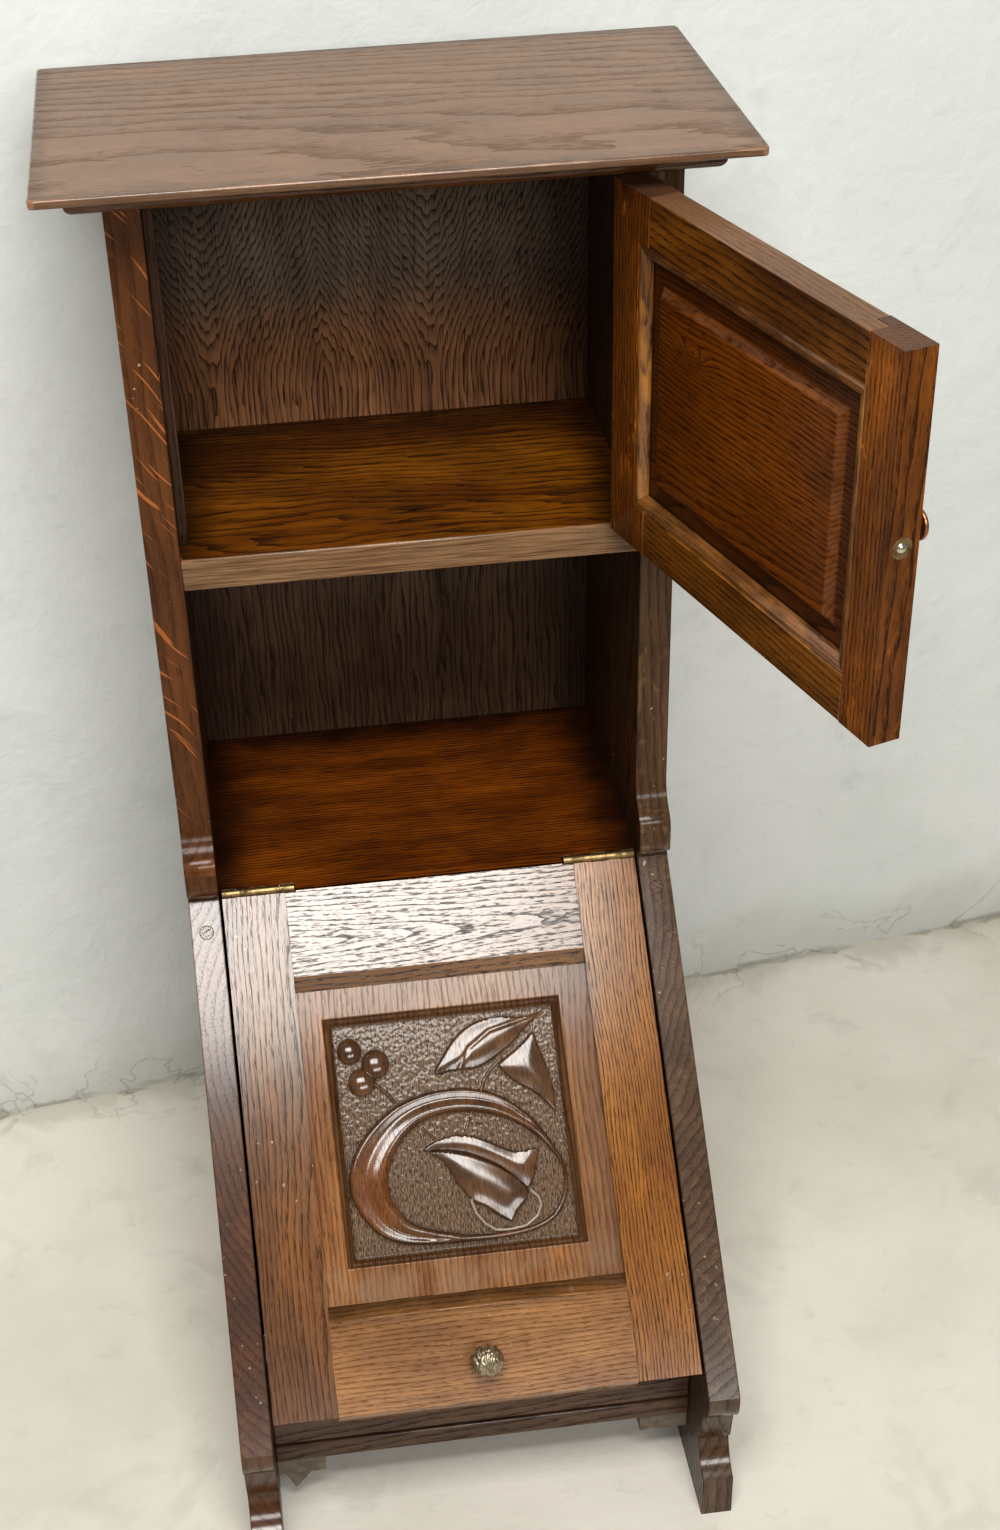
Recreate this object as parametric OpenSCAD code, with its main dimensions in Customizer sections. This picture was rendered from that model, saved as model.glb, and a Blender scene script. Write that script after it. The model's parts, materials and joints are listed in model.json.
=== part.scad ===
// Coal cabinet with a sloping lift-up lid, an open shelf and a small cupboard.
// X runs to the right, Y to the back, Z up. Y = 0 is the front edge of the upper sides.

/* [Node] */
// which piece to show, or all

/* [Body] */
// clear width between the side boards
inner_w = 300; // [260:1:380]
// thickness of each side board
side_t = 22; // [18:0.5:26]
// overall height
total_h = 907; // [850:1:980]
// depth from the upper front edge to the back
upper_d = 210; // [180:1:260]
// height of the cupboard floor (top face of the middle shelf)
shelf_z = 653; // [600:1:680]
// thickness of the middle shelf
shelf_t = 22; // [18:0.5:26]
// height of the open shelf floor
deck_z = 391.5; // [370:0.5:420]
// thickness of the open shelf floor
deck_t = 20; // [16:0.5:24]

/* [Top] */
// how far the top runs past the side boards
top_side = 39; // [30:1:50]
// how far the top runs past the front edge
top_front = 47.5; // [35:0.5:60]
// top board thickness
top_t = 12; // [10:0.5:18]
// visible edge left by the bevel under the top
top_edge = 5; // [4:0.5:8]
// height of the moulding under the top
cornice_h = 8; // [6:0.5:12]
// how far the moulding stands out
cornice_out = 21; // [16:1:28]

/* [Slope and feet] */
// slope of the side boards and lid, degrees below level
slope = 43.5; // [42.5:0.25:45]
// front of the nose, forward of the upper front edge
nose_y = 289; // [280:1:300]
// front of the toe, forward of the upper front edge
toe_y = 284; // [275:1:295]
// height of the toe
toe_h = 36.5; // [32:0.5:42]
// how far the lobe above the slope stands forward
lobe_out = 19.5; // [16:0.5:22]

/* [Coal box] */
// front face of the coal box, forward of the upper front edge
box_y = 232; // [225:1:238]
// underside of the bottom board
bottom_z = 50; // [46:1:56]
// thickness of the bottom board and front rail
board_t = 16; // [14:0.5:18]
// width of the battens under the bottom board
cleat_w = 35; // [28:1:42]

/* [Door] */
// how far the door stands open at rest
door_open = 107.75; // [90:0.25:120]
// door thickness
door_t = 20; // [18:0.5:22]
// width of the door stiles and rails, sight edge
door_frame = 42; // [38:0.5:46]
// depth of the rebate that holds the door panel
door_rebate = 12; // [9:0.5:13]

/* [Lid] */
// lid thickness
lid_t = 20; // [18:0.5:22]
// length of the lid down the slope
lid_len = 364.7; // [355:0.1:370]
// width of the lid stiles
lid_stile = 44.5; // [40:0.5:50]
// width of the face of the top rail
lid_top_rail = 61; // [55:0.5:66]
// width of the face of the bottom rail
lid_bot_rail = 64; // [58:0.5:70]
// length of the chamfer down to the panel
lid_cham = 10.5; // [8:0.5:12]
// depth of the panel below the frame
panel_sink = 6; // [5:0.5:7]
// depth of the carved ground below the panel margin
carve_d = 4; // [3:0.5:4.5]

/* [Metalwork] */
// length of the hinges
hinge_l = 51; // [48:0.5:54]
// thickness of the hinge leaves
leaf_t = 1.3; // [1.1:0.1:1.5]
// wall of the sheet metal liner
liner_t = 1.5; // [1.2:0.1:2]

/* [Hidden] */
$fn = 48;
e = 0.01;
hw = inner_w / 2;
ow = hw + side_t;
yb = upper_d;
zt = total_h - top_t;
ceil_z = zt - cornice_h;
back_t = 10;
back_z = 30;
ca = cos(slope);
sa = sin(slope);
// start of the slope, just under the lobes
s0_y = -9;
s0_z = deck_z + 1.1;
// nose and toe
nose_z = s0_z - (nose_y + s0_y) * sa / ca;
step_y = 264.6;
step_z = 61;
blk_y0 = 269;
blk_z0 = 65;
blk_y1 = 275;
blk_z1 = nose_z - 30;
nose_b = nose_z - 7.4;
nose_dy = nose_y - blk_y1;
nose_dz = nose_b - blk_z1;
nose_r = (nose_dy * nose_dy + nose_dz * nose_dz) / (2 * nose_dy);
cove_c = 32;
chord_y = toe_y - step_y;
chord_z = step_z - toe_h;
chord = sqrt(chord_y * chord_y + chord_z * chord_z);
sag = sqrt(cove_c * cove_c - chord * chord / 4);
cove_y = -(toe_y + step_y) / 2 - sag * chord_z / chord;
cove_z = (toe_h + step_z) / 2 + sag * chord_y / chord;
// lobe: a cove over a round, r_c and r_n in tangent contact
r_c = 26;
r_n = 13;
lobe_top = s0_z + 59.4;
lobe_cos = (r_c - lobe_out + r_n) / (r_c + r_n);
lobe_sin = sqrt(1 - lobe_cos * lobe_cos);
lobe_nz = lobe_top - (r_c + r_n) * lobe_sin;
lobe_b = 10;
lobe_z = s0_z + 3.4;
// lid frame: local X across, local -Y down the slope, local Z out of the face
lid_rec = 1;
lid_s0 = 2.1;
lid_s1 = lid_s0 + lid_len;
lid_hw = hw - 2;
deck_s = -4.4;
pin_s = (lid_s0 + deck_s) / 2;
lkn_r = (lid_s0 - deck_s) / 2 - 0.3;
// door, in its closed place
dg = 1.5;
d_x1 = hw - dg;
d_x0 = -hw + dg;
d_z0 = shelf_z + 2.4;
d_z1 = ceil_z - 2.7;
d_pin_x = hw - dg / 2;
d_pin_y = -2.9;
d_lip = 8;
kn_r = 2.6;
pin_r = 1.25;
kn_gap = 0.3;
catch_z = (d_z0 + d_z1) / 2 + 5;
catch_y = door_t / 2 + 0.5;
ball_r = 3.7;
lip_r = 3.2;
ball_in = sqrt(ball_r * ball_r - lip_r * lip_r) + 0.12;
hinge_z = [d_z0 + 17, d_z1 - 17 - hinge_l];
hinge_x = [-lid_hw + 0.2, lid_hw - 0.2 - hinge_l];
leaf_w = 16;
// lid knob place down the slope
knob_s = lid_s1 - 27;
// liner
ln_hw = hw - 12;
ln_y0 = -box_y + board_t + 9;
ln_y1 = 60;
ln_z0 = bottom_z + board_t;
ln_front_z = 128;
ln_top_z = 300;
bail_y = -24;
bail_z = 292;
bail_l = 96;
bail_r = 3;

// ---------- helpers ----------
module oak() {
    color([0.36, 0.20, 0.11]) children();
}

module brass() {
    color([0.71, 0.56, 0.29]) children();
}

module steel() {
    color([0.20, 0.20, 0.21]) children();
}

module box(x0, y0, z0, x1, y1, z1) {
    translate([x0, y0, z0]) cube([x1 - x0, y1 - y0, z1 - z0]);
}

// a profile drawn in (Y, Z), run from x0 to x1
module along_x(x0, x1) {
    translate([x0, 0, 0]) rotate([90, 0, 90]) linear_extrude(x1 - x0) children();
}

// a profile drawn in (X, Z), run from y0 to y1
module along_y(y0, y1) {
    translate([0, y1, 0]) rotate([90, 0, 0]) linear_extrude(y1 - y0) children();
}

// pieces drawn in the lid frame are laid on the slope
module at_lid() {
    translate([0, s0_y, s0_z]) rotate([slope, 0, 0]) children();
}

// pieces drawn in the closed door are swung to the open rest place
module at_door() {
    translate([d_pin_x, d_pin_y, 0]) rotate([0, 0, door_open])
        translate([-d_pin_x, -d_pin_y, 0]) children();
}

// countersunk screw: head up at z = 0, shank down
module screw(l, r) {
    translate([0, 0, -1.2]) cylinder(h = 1.2, r1 = r, r2 = r + 1.2);
    translate([0, 0, -l]) cylinder(h = l - 1.2 + e, r = r);
}

module screw_slot(r) {
    translate([-r - 2, -0.3, -0.5]) cube([2 * r + 4, 0.6, 1]);
}

// ---------- carcass ----------
// points along an arc, from angle a0 to a1
function arc(c, r, a0, a1, n = 18) =
    [for (i = [0 : n]) let (a = a0 + (a1 - a0) * i / n) c + r * [cos(a), sin(a)]];

// outline of a side board in (Y, Z), from the back corner forward along the floor and up
module side_outline() {
    cove_a0 = atan2(toe_h - cove_z, -toe_y - cove_y);
    cove_a1 = atan2(step_z - cove_z, -step_y - cove_y);
    polygon(concat(
        [[yb, 0], [-toe_y, 0]],
        arc([cove_y, cove_z], cove_c, cove_a0, cove_a1, 14),
        [[-step_y, blk_z0], [-blk_y0, blk_z0]],
        arc([-nose_y + nose_r, nose_b], nose_r, 180 + asin(nose_dz / nose_r), 180, 14),
        [[-nose_y, nose_z], [s0_y, s0_z]],
        arc([-lobe_out + lobe_b, lobe_z + lobe_b], lobe_b, -acos((s0_y + lobe_out - lobe_b) / lobe_b), -180),
        arc([-lobe_out + r_n, lobe_nz], r_n, 180, 90 + asin(lobe_cos)),
        arc([-r_c, lobe_top], r_c, -acos(lobe_cos), 0, 20),
        [[0, zt], [yb, zt]]));
}

// housings cut in the inner face of a side board; sx = 1 for the right one
module side_cuts(sx) {
    mirror([sx < 0 ? 1 : 0, 0, 0]) {
        box(hw - 1, yb - back_t, back_z, hw + 10, yb + 1, zt + 1);
        box(hw - 1, 8, shelf_z - shelf_t, hw + 6, yb - back_t, shelf_z);
        box(hw - 1, 24, deck_z - deck_t, hw + 6, yb - back_t, deck_z);
        at_lid() translate([hw + side_t / 2, -25, -10]) cylinder(h = 11, r = 5);
    }
}

module side_board(sx) {
    difference() {
        mirror([sx < 0 ? 1 : 0, 0, 0]) along_x(hw, ow) side_outline();
        side_cuts(sx);
        if (sx > 0) {
            door_fixed_cut();
        }
        if (sx < 0) {
            strike_cut();
        }
    }
}

module left_side() {
    oak() side_board(-1);
}

module right_side() {
    oak() side_board(1);
}

module top_plan() {
    r = 4;
    x1 = ow + top_side;
    union() {
        translate([-x1 + r, -top_front]) square([2 * x1 - 2 * r, yb + top_front]);
        translate([-x1, -top_front + r]) square([2 * x1, yb + top_front - 2 * r]);
        for (x = [-x1 + r, x1 - r], y = [-top_front + r, yb - r]) {
            translate([x, y]) circle(r = r, $fn = 32);
        }
    }
}

module top_board() {
    d = top_t - top_edge;
    bx = top_side - cornice_out;
    bf = top_front - cornice_out;
    x1 = ow + top_side;
    oak() difference() {
        translate([0, 0, zt]) linear_extrude(top_t) top_plan();
        along_x(-x1 - 1, x1 + 1)
            polygon([[-top_front - 4, zt - 1], [-top_front - 4, zt + d], [-top_front, zt + d],
                [-top_front + bf, zt], [-top_front + bf, zt - 1]]);
        for (m = [0, 1]) {
            mirror([m, 0, 0]) along_y(-top_front - 1, yb + 1)
                polygon([[x1 + 4, zt - 1], [x1 + 4, zt + d], [x1, zt + d], [x1 - bx, zt],
                    [x1 - bx, zt - 1]]);
        }
    }
}

module sub_top() {
    oak() box(-hw, 0, ceil_z, hw, yb - back_t, zt);
}

// moulding section: x out from the face it is glued to, y up; a quarter round under a fillet
module cornice_section(back) {
    union() {
        translate([-back, 0]) square([back + cornice_out - cornice_h + 1, cornice_h]);
        translate([0, cornice_h - 1]) square([cornice_out, 1]);
        intersection() {
            translate([cornice_out - cornice_h + 1, cornice_h - 1]) circle(r = cornice_h - 1, $fn = 64);
            square([cornice_out, cornice_h - 1]);
        }
    }
}

module cornice_front() {
    oak() intersection() {
        translate([-ow - cornice_out - 1, 0, ceil_z]) rotate([90, 0, 90])
            linear_extrude(2 * (ow + cornice_out + 1)) mirror([1, 0]) cornice_section(0);
        linear_extrude(3 * total_h)
            polygon([[-ow, 0], [-ow - cornice_out, -cornice_out], [-ow - cornice_out, -cornice_out - 5],
                [ow + cornice_out, -cornice_out - 5], [ow + cornice_out, -cornice_out], [ow, 0]]);
    }
}

module cornice_end(sx) {
    mirror([sx < 0 ? 1 : 0, 0, 0]) intersection() {
        translate([ow, yb, ceil_z]) rotate([90, 0, 0]) linear_extrude(yb + cornice_out + 1)
            cornice_section(0);
        linear_extrude(3 * total_h)
            polygon([[ow, 0], [ow + cornice_out, -cornice_out], [ow + cornice_out + 5, -cornice_out],
                [ow + cornice_out + 5, yb], [ow, yb]]);
    }
}

module cornice_left() {
    oak() cornice_end(-1);
}

module cornice_right() {
    oak() cornice_end(1);
}

module back_panel() {
    oak() box(-hw - 10, yb - back_t, back_z, hw + 10, yb, zt);
}

module mid_shelf() {
    oak() {
        box(-hw, 0, shelf_z - shelf_t, hw, 8, shelf_z);
        box(-hw - 6, 8, shelf_z - shelf_t, hw + 6, yb - back_t, shelf_z);
    }
}

// where a cut square to the slope, s down it, crosses the height z
function bevel_y(s, z) = s0_y + (-s - (z - s0_z) * sa) / ca;

// between the hinges the deck and the lid come closer than where the hinges are let in
mid_gap = 1.5;
mid_hw = hinge_x[1] - 1;
mid_s = lid_s0 - 1.2;

// the front edge of the deck is cut square to the slope, and cut back where the hinges are let in
module deck() {
    zb = deck_z - deck_t;
    nose = mid_s - mid_gap;
    oak() difference() {
        union() {
            along_x(-hw, hw)
                polygon([[bevel_y(deck_s, deck_z), deck_z], [yb - back_t, deck_z], [yb - back_t, zb],
                    [bevel_y(deck_s, zb), zb]]);
            along_x(-mid_hw, mid_hw)
                polygon([[bevel_y(nose, deck_z), deck_z], [yb - back_t - 1, deck_z], [yb - back_t - 1, zb],
                    [bevel_y(nose, zb), zb]]);
            box(-hw - 6, 24, zb, hw + 6, yb - back_t, deck_z);
        }
        lid_fixed_holes();
    }
}

module front_rail() {
    oak() difference() {
        box(-hw, -box_y, bottom_z + board_t + 3, hw, -box_y + board_t, 240);
        at_lid() box(-hw - 1, -500, -lid_rec - lid_t - 0.2, hw + 1, 60, 200);
    }
}

module bottom_board() {
    oak() {
        box(-hw, -box_y, bottom_z, hw, yb - back_t, bottom_z + board_t);
        box(-hw, -box_y + 5, bottom_z + board_t, hw, -box_y + board_t, bottom_z + board_t + 3);
    }
}

module cleat_left() {
    color([0.52, 0.46, 0.37]) box(-hw, -box_y + 2, bottom_z - 16, -hw + cleat_w, yb - back_t - 10, bottom_z);
}

module cleat_right() {
    color([0.52, 0.46, 0.37]) box(hw - cleat_w, -box_y + 2, bottom_z - 16, hw, yb - back_t - 10, bottom_z);
}

module glue_block() {
    z = bottom_z - 16;
    color([0.40, 0.32, 0.24]) along_y(-box_y + 3, -box_y + 43)
        polygon([[-hw + 5, z], [-hw + 12, z - 17], [-hw + 25.4, z]]);
}

module slope_plugs() {
    oak() for (m = [0, 1]) {
        mirror([m, 0, 0]) at_lid() translate([hw + side_t / 2, -25, -10])
            cylinder(h = 10, r = 5);
    }
}

module door_stop() {
    oak() box(-hw, door_t + 0.5, shelf_z, -hw + 6.5, door_t + 12.5, ceil_z);
}

module strike_cut() {
    box(-hw - leaf_t, catch_y - 7, catch_z - 19, -hw + 1, catch_y + 7, catch_z + 19);
    translate([-hw - 6, catch_y, catch_z]) rotate([0, 90, 0]) cylinder(h = 7, r = 4.5);
    for (dz = [-13, 13]) {
        translate([-hw, catch_y, catch_z + dz]) rotate([0, 90, 0]) cylinder(h = 26, r = 1.3, center = true);
    }
}

module strike_plate() {
    brass() difference() {
        box(-hw - leaf_t, catch_y - 7, catch_z - 19, -hw, catch_y + 7, catch_z + 19);
        translate([-hw - 6, catch_y, catch_z]) rotate([0, 90, 0]) cylinder(h = 7, r = 3.3);
        for (dz = [-13, 13]) {
            translate([-hw, catch_y, catch_z + dz]) rotate([0, 90, 0]) screw_head_cut(1.3);
        }
    }
}

module screw_head_cut(r) {
    translate([0, 0, -1.2]) cylinder(h = 1.2, r1 = r, r2 = r + 1.2);
    translate([0, 0, -4]) cylinder(h = 4, r = r);
}

module strike_screws() {
    brass() for (dz = [-13, 13]) {
        translate([-hw, catch_y, catch_z + dz]) rotate([0, 90, 0]) difference() {
            screw(13, 1.3);
            screw_slot(1.3);
        }
    }
}

// ---------- butt hinges ----------
// Both hinges are drawn the same way: pin along Z through the origin, the fixed leaf on the
// +X side and the moving leaf on the -X side, both running back along +Y.
function seg_h() = (hinge_l - 4 * kn_gap) / 5;

module knuckles(first, r, bore) {
    for (i = [first : 2 : 4]) {
        translate([0, 0, i * (seg_h() + kn_gap)]) difference() {
            cylinder(h = seg_h(), r = r);
            translate([0, 0, -1]) cylinder(h = seg_h() + 2, r = bore);
        }
    }
}

// a leaf whose face is gap away from the pin plane, from y0 to y1
module leaf(first, r, gap, y0, y1) {
    translate([gap, y0, 0]) cube([leaf_t, y1 - y0, hinge_l]);
    for (i = [first : 2 : 4]) {
        translate([gap, 0, i * (seg_h() + kn_gap)]) difference() {
            cube([leaf_t, y0 + e, seg_h()]);
            translate([-gap, 0, -1]) cylinder(h = seg_h() + 2, r = r - 0.6);
        }
    }
}

module hinge_pin(r) {
    translate([0, 0, -0.9]) cylinder(h = 0.9, r = r + 1);
    cylinder(h = hinge_l, r = r);
    translate([0, 0, hinge_l]) cylinder(h = 0.9, r = r + 1);
}

function screw_pos(y0, y1) = [[y0 + 6, 8], [y1 - 6, hinge_l / 2], [y0 + 6, hinge_l - 8]];

// ---------- door hinges ----------
module door_leaf_holes(sx, l) {
    for (h = hinge_z, p = screw_pos(0, 18)) {
        translate([sx > 0 ? hw : d_x1, p[0], h + p[1]]) rotate([0, sx > 0 ? -90 : 90, 0])
            translate([0, 0, -l]) cylinder(h = l + 1, r = 1.3);
    }
}

module door_fixed_cut() {
    for (h = hinge_z) {
        box(hw - 1, -1, h, hw + leaf_t, 18, h + hinge_l);
    }
    door_leaf_holes(1, 14);
}

module door_moving_cut() {
    for (h = hinge_z) {
        box(d_x1 - leaf_t, -1, h, d_x1 + 1, 18, h + hinge_l);
    }
    door_leaf_holes(-1, 14);
}

module door_heads(sx) {
    for (h = hinge_z, p = screw_pos(0, 18)) {
        translate([sx > 0 ? hw : d_x1, p[0], h + p[1]]) rotate([0, sx > 0 ? -90 : 90, 0])
            screw_head_cut(1.3);
    }
}

module door_hinge_fixed() {
    brass() difference() {
        for (h = hinge_z) {
            translate([d_pin_x, d_pin_y, h]) {
                knuckles(0, kn_r, pin_r);
                leaf(0, kn_r, dg / 2, -d_pin_y, 18 - d_pin_y);
            }
        }
        door_heads(1);
    }
}

module door_hinge_moving() {
    brass() at_door() difference() {
        for (h = hinge_z) {
            translate([d_pin_x, d_pin_y, h]) {
                knuckles(1, kn_r, pin_r + 0.05);
                mirror([1, 0, 0]) leaf(1, kn_r, dg / 2, -d_pin_y, 18 - d_pin_y);
            }
        }
        door_heads(-1);
    }
}

module door_hinge_pins() {
    brass() for (h = hinge_z) {
        translate([d_pin_x, d_pin_y, h]) hinge_pin(pin_r);
    }
}

module door_screw_set(sx) {
    for (h = hinge_z, p = screw_pos(0, 18)) {
        translate([sx > 0 ? hw : d_x1, p[0], h + p[1]]) rotate([0, sx > 0 ? -90 : 90, 0])
            difference() {
                screw(14, 1.3);
                screw_slot(1.3);
            }
    }
}

module door_screws_fixed() {
    brass() door_screw_set(1);
}

module door_screws_moving() {
    brass() at_door() door_screw_set(-1);
}

// ---------- door ----------
m_w = door_frame;
r_w = door_frame - door_rebate;
t_y0 = 6;
t_y1 = 13;
bead_w = 9;
bead_h = door_t - d_lip - 6;
bead_r = bead_h + 0.2;
// flat margin of the panel between the bead and the raised field
field_w = 12;

module rail_tenons(z0, z1) {
    box(d_x1 - m_w, t_y0, z0, d_x1 - m_w + 25, t_y1, z1);
    box(d_x0 + r_w - 14, t_y0, z0, d_x0 + r_w, t_y1, z1);
}

module door_stile_hinge() {
    oak() at_door() difference() {
        box(d_x1 - m_w, 0, d_z0, d_x1, door_t, d_z1);
        box(d_x1 - m_w - 1, d_lip, d_z0 + r_w, d_x1 - r_w, door_t + 1, d_z1 - r_w);
        rail_tenons(d_z0 + 8, d_z0 + r_w - 2);
        rail_tenons(d_z1 - r_w + 2, d_z1 - 8);
        door_moving_cut();
    }
}

module door_stile_lock() {
    oak() at_door() difference() {
        box(d_x0, 0, d_z0, d_x0 + m_w, door_t, d_z1);
        box(d_x0 + r_w, d_lip, d_z0 - 1, d_x0 + m_w + 1, door_t + 1, d_z1 + 1);
        rail_tenons(d_z0 + 8, d_z0 + r_w - 2);
        rail_tenons(d_z1 - r_w + 2, d_z1 - 8);
        catch_place() {
            translate([0, 0, -0.8]) cylinder(h = 1.8, r = 6.3);
            translate([0, 0, -14]) cylinder(h = 14, r = 5);
        }
        knob_place() translate([0, 0, -13]) cylinder(h = 14, r = 1.5);
    }
}

module door_rail(z0, z1, up) {
    zi0 = up ? z0 : z0 + door_rebate;
    zi1 = up ? z1 - door_rebate : z1;
    union() {
        box(d_x0 + m_w, 0, z0, d_x1 - m_w, d_lip, z1);
        box(d_x0 + r_w, d_lip, zi0, d_x1 - m_w, door_t, zi1);
        rail_tenons(up ? z0 + 8 : z0 + door_rebate + 2, up ? z1 - door_rebate - 2 : z1 - 8);
    }
}

module door_rail_top() {
    oak() at_door() door_rail(d_z1 - m_w, d_z1, false);
}

module door_rail_bottom() {
    oak() at_door() door_rail(d_z0, d_z0 + m_w, true);
}

// panel with a raised and bevelled field, loose in its rebate
module door_panel() {
    gap = 0.6;
    x0 = d_x0 + r_w + bead_w + field_w;
    x1 = d_x1 - r_w - bead_w - field_w;
    z0 = d_z0 + r_w + bead_w + field_w;
    z1 = d_z1 - r_w - bead_w - field_w;
    f = 4;
    yp = d_lip + 6;
    yf = door_t - 1;
    oak() at_door() union() {
        box(d_x0 + r_w + gap, d_lip, d_z0 + r_w + gap, d_x1 - r_w - gap, yp, d_z1 - r_w - gap);
        intersection() {
            translate([0, 0, z0]) linear_extrude(z1 - z0)
                polygon([[x0, yp - 1], [x0, yp], [x0 + f, yf], [x1 - f, yf], [x1, yp], [x1, yp - 1]]);
            along_x(x0, x1)
                polygon([[yp - 1, z0], [yp, z0], [yf, z0 + f], [yf, z1 - f], [yp, z1], [yp - 1, z1]]);
        }
    }
}

// x runs in from the frame, y stands out of the panel
module bead_section() {
    intersection() {
        square([bead_w, bead_h + 1]);
        translate([bead_w - bead_r - 0.2, -0.4]) circle(r = bead_r, $fn = 96);
    }
}

module bead_run(l, w) {
    intersection() {
        rotate([90, 0, 90]) linear_extrude(l) bead_section();
        linear_extrude(20) polygon([[0, 0], [w, w], [l - w, w], [l, 0]]);
    }
}

bead_l = d_x1 - d_x0 - 2 * r_w;
bead_v = d_z1 - d_z0 - 2 * r_w;

module door_bead_bottom() {
    oak() at_door() translate([d_x1 - r_w, d_lip + 6, d_z0 + r_w]) rotate([0, 0, 180])
        rotate([90, 0, 0]) bead_run(bead_l, bead_w);
}

module door_bead_top() {
    oak() at_door() translate([d_x0 + r_w, d_lip + 6, d_z1 - r_w]) rotate([-90, 0, 0])
        bead_run(bead_l, bead_w);
}

module door_bead_hinge() {
    oak() at_door() translate([d_x1 - r_w, d_lip + 6, d_z1 - r_w]) rotate([0, 0, 90])
        rotate([0, 90, 0]) bead_run(bead_v, bead_w);
}

module door_bead_lock() {
    oak() at_door() translate([d_x0 + r_w, d_lip + 6, d_z0 + r_w]) rotate([0, 0, -90])
        rotate([0, -90, 0]) bead_run(bead_v, bead_w);
}

// ---------- door knob and catch ----------
module knob_place() {
    translate([d_x0 + 17, 0, catch_z + 2]) rotate([90, 0, 0]) children();
}

module door_knob() {
    color([0.72, 0.45, 0.25]) at_door() knob_place() difference() {
        rotate_extrude($fn = 64) union() {
            square([5.4, 1.6]);
            square([3.6, 9.5]);
            translate([0, 8.7]) square([7.9, 2]);
            translate([7.9, 10.3]) circle(r = 1.6, $fn = 24);
            intersection() {
                translate([0, 3.4]) circle(r = 11.6, $fn = 120);
                translate([0, 9]) square([7.9, 7]);
            }
        }
        translate([0, 0, -1]) cylinder(h = 6, r = 1.5);
    }
}

module door_knob_screw() {
    brass() at_door() knob_place() translate([0, 0, -13]) cylinder(h = 18, r = 1.5);
}

// catch frame: axis out of the door edge, z = 0 in the plane of the edge
module catch_place() {
    translate([d_x0, catch_y, catch_z]) rotate([0, -90, 0]) children();
}

module catch_barrel() {
    brass() at_door() catch_place() difference() {
        union() {
            translate([0, 0, -0.8]) cylinder(h = 0.8, r = 6.3);
            translate([0, 0, -14]) cylinder(h = 13.5, r = 5);
        }
        translate([0, 0, -12.8]) cylinder(h = 11.6 + e, r = ball_r + 0.1);
        translate([0, 0, -1.2]) cylinder(h = 1.2, r1 = ball_r + 0.1, r2 = lip_r);
        translate([0, 0, -e]) cylinder(h = 1, r = lip_r);
    }
}

module catch_ball() {
    color([0.75, 0.74, 0.70]) at_door() catch_place() translate([0, 0, -ball_in])
        sphere(r = ball_r, $fn = 48);
}

// drawn closed up, as it is with the ball pushed in
module catch_spring() {
    l = 12.8 - ball_in - ball_r - 1.9;
    n = round(l / 0.86);
    p = (l - 0.9) / (n - 1);
    steel() at_door() catch_place() translate([0, 0, -12.8]) rotate_extrude() union() {
        for (i = [0 : n - 1]) {
            translate([2.4, 0.45 + i * p]) circle(r = 0.45, $fn = 16);
        }
    }
}

// ---------- lid ----------
module lbox(x0, s0, z0, x1, s1, z1) {
    box(x0, -s1, z0, x1, -s0, z1);
}

l_out = -lid_rec;
l_in = -lid_rec - lid_t;
p_top = -lid_rec - panel_sink;
st_x = lid_hw - lid_stile;
tr_s = lid_s0 + lid_top_rail + lid_cham;
br_s = lid_s1 - lid_bot_rail - lid_cham;
gr = 8;
g0 = p_top - 8;
g1 = p_top - 2;
tn0 = p_top - 7.5;
tn1 = p_top - 0.5;
// the lower end is cut a little under square
under = 14;

module lid_end_cut() {
    translate([0, -lid_s1, l_out]) rotate([-under, 0, 0])
        translate([-lid_hw - 1, -20, -40]) cube([2 * lid_hw + 2, 20, 60]);
}

module lid_stile() {
    difference() {
        lbox(st_x, lid_s0, l_in, lid_hw, lid_s1, l_out);
        lbox(st_x - 1, tr_s - gr, g0, st_x + gr, br_s + gr, g1);
        lbox(st_x - 1, lid_s0 + 18, tn0, st_x + 30, tr_s - gr - 4, tn1);
        lbox(st_x - 1, br_s + gr + 4, tn0, st_x + 30, lid_s1 - 10, tn1);
        lid_moving_holes();
        lid_end_cut();
    }
}

module lid_stile_right() {
    oak() at_lid() lid_stile();
}

module lid_stile_left() {
    oak() at_lid() mirror([1, 0, 0]) lid_stile();
}

module lid_rail_top() {
    oak() at_lid() difference() {
        union() {
            along_x(-st_x, st_x)
                polygon([[-lid_s0, l_in], [-lid_s0, l_out], [-tr_s + lid_cham, l_out], [-tr_s, p_top],
                    [-tr_s, l_in]]);
            lbox(-mid_hw, mid_s, l_in, mid_hw, lid_s0 + 1, l_out);
            lbox(-st_x - 30, lid_s0 + 18, tn0, st_x + 30, tr_s - gr - 4, tn1);
        }
        lbox(-st_x - 1, tr_s - gr, g0, st_x + 1, tr_s + 1, g1);
        lid_moving_holes();
        mirror([1, 0, 0]) lid_moving_holes();
    }
}

module lid_rail_bottom() {
    oak() at_lid() difference() {
        union() {
            along_x(-st_x, st_x)
                polygon([[-lid_s1 - 4, l_in], [-lid_s1 - 4, l_out], [-br_s - lid_cham, l_out], [-br_s, p_top],
                    [-br_s, l_in]]);
            lbox(-st_x - 30, br_s + gr + 4, tn0, st_x + 30, lid_s1 - 10, tn1);
        }
        lbox(-st_x - 1, br_s - 1, g0, st_x + 1, br_s + gr, g1);
        lid_end_cut();
        knob_screw_cut();
    }
}

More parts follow.
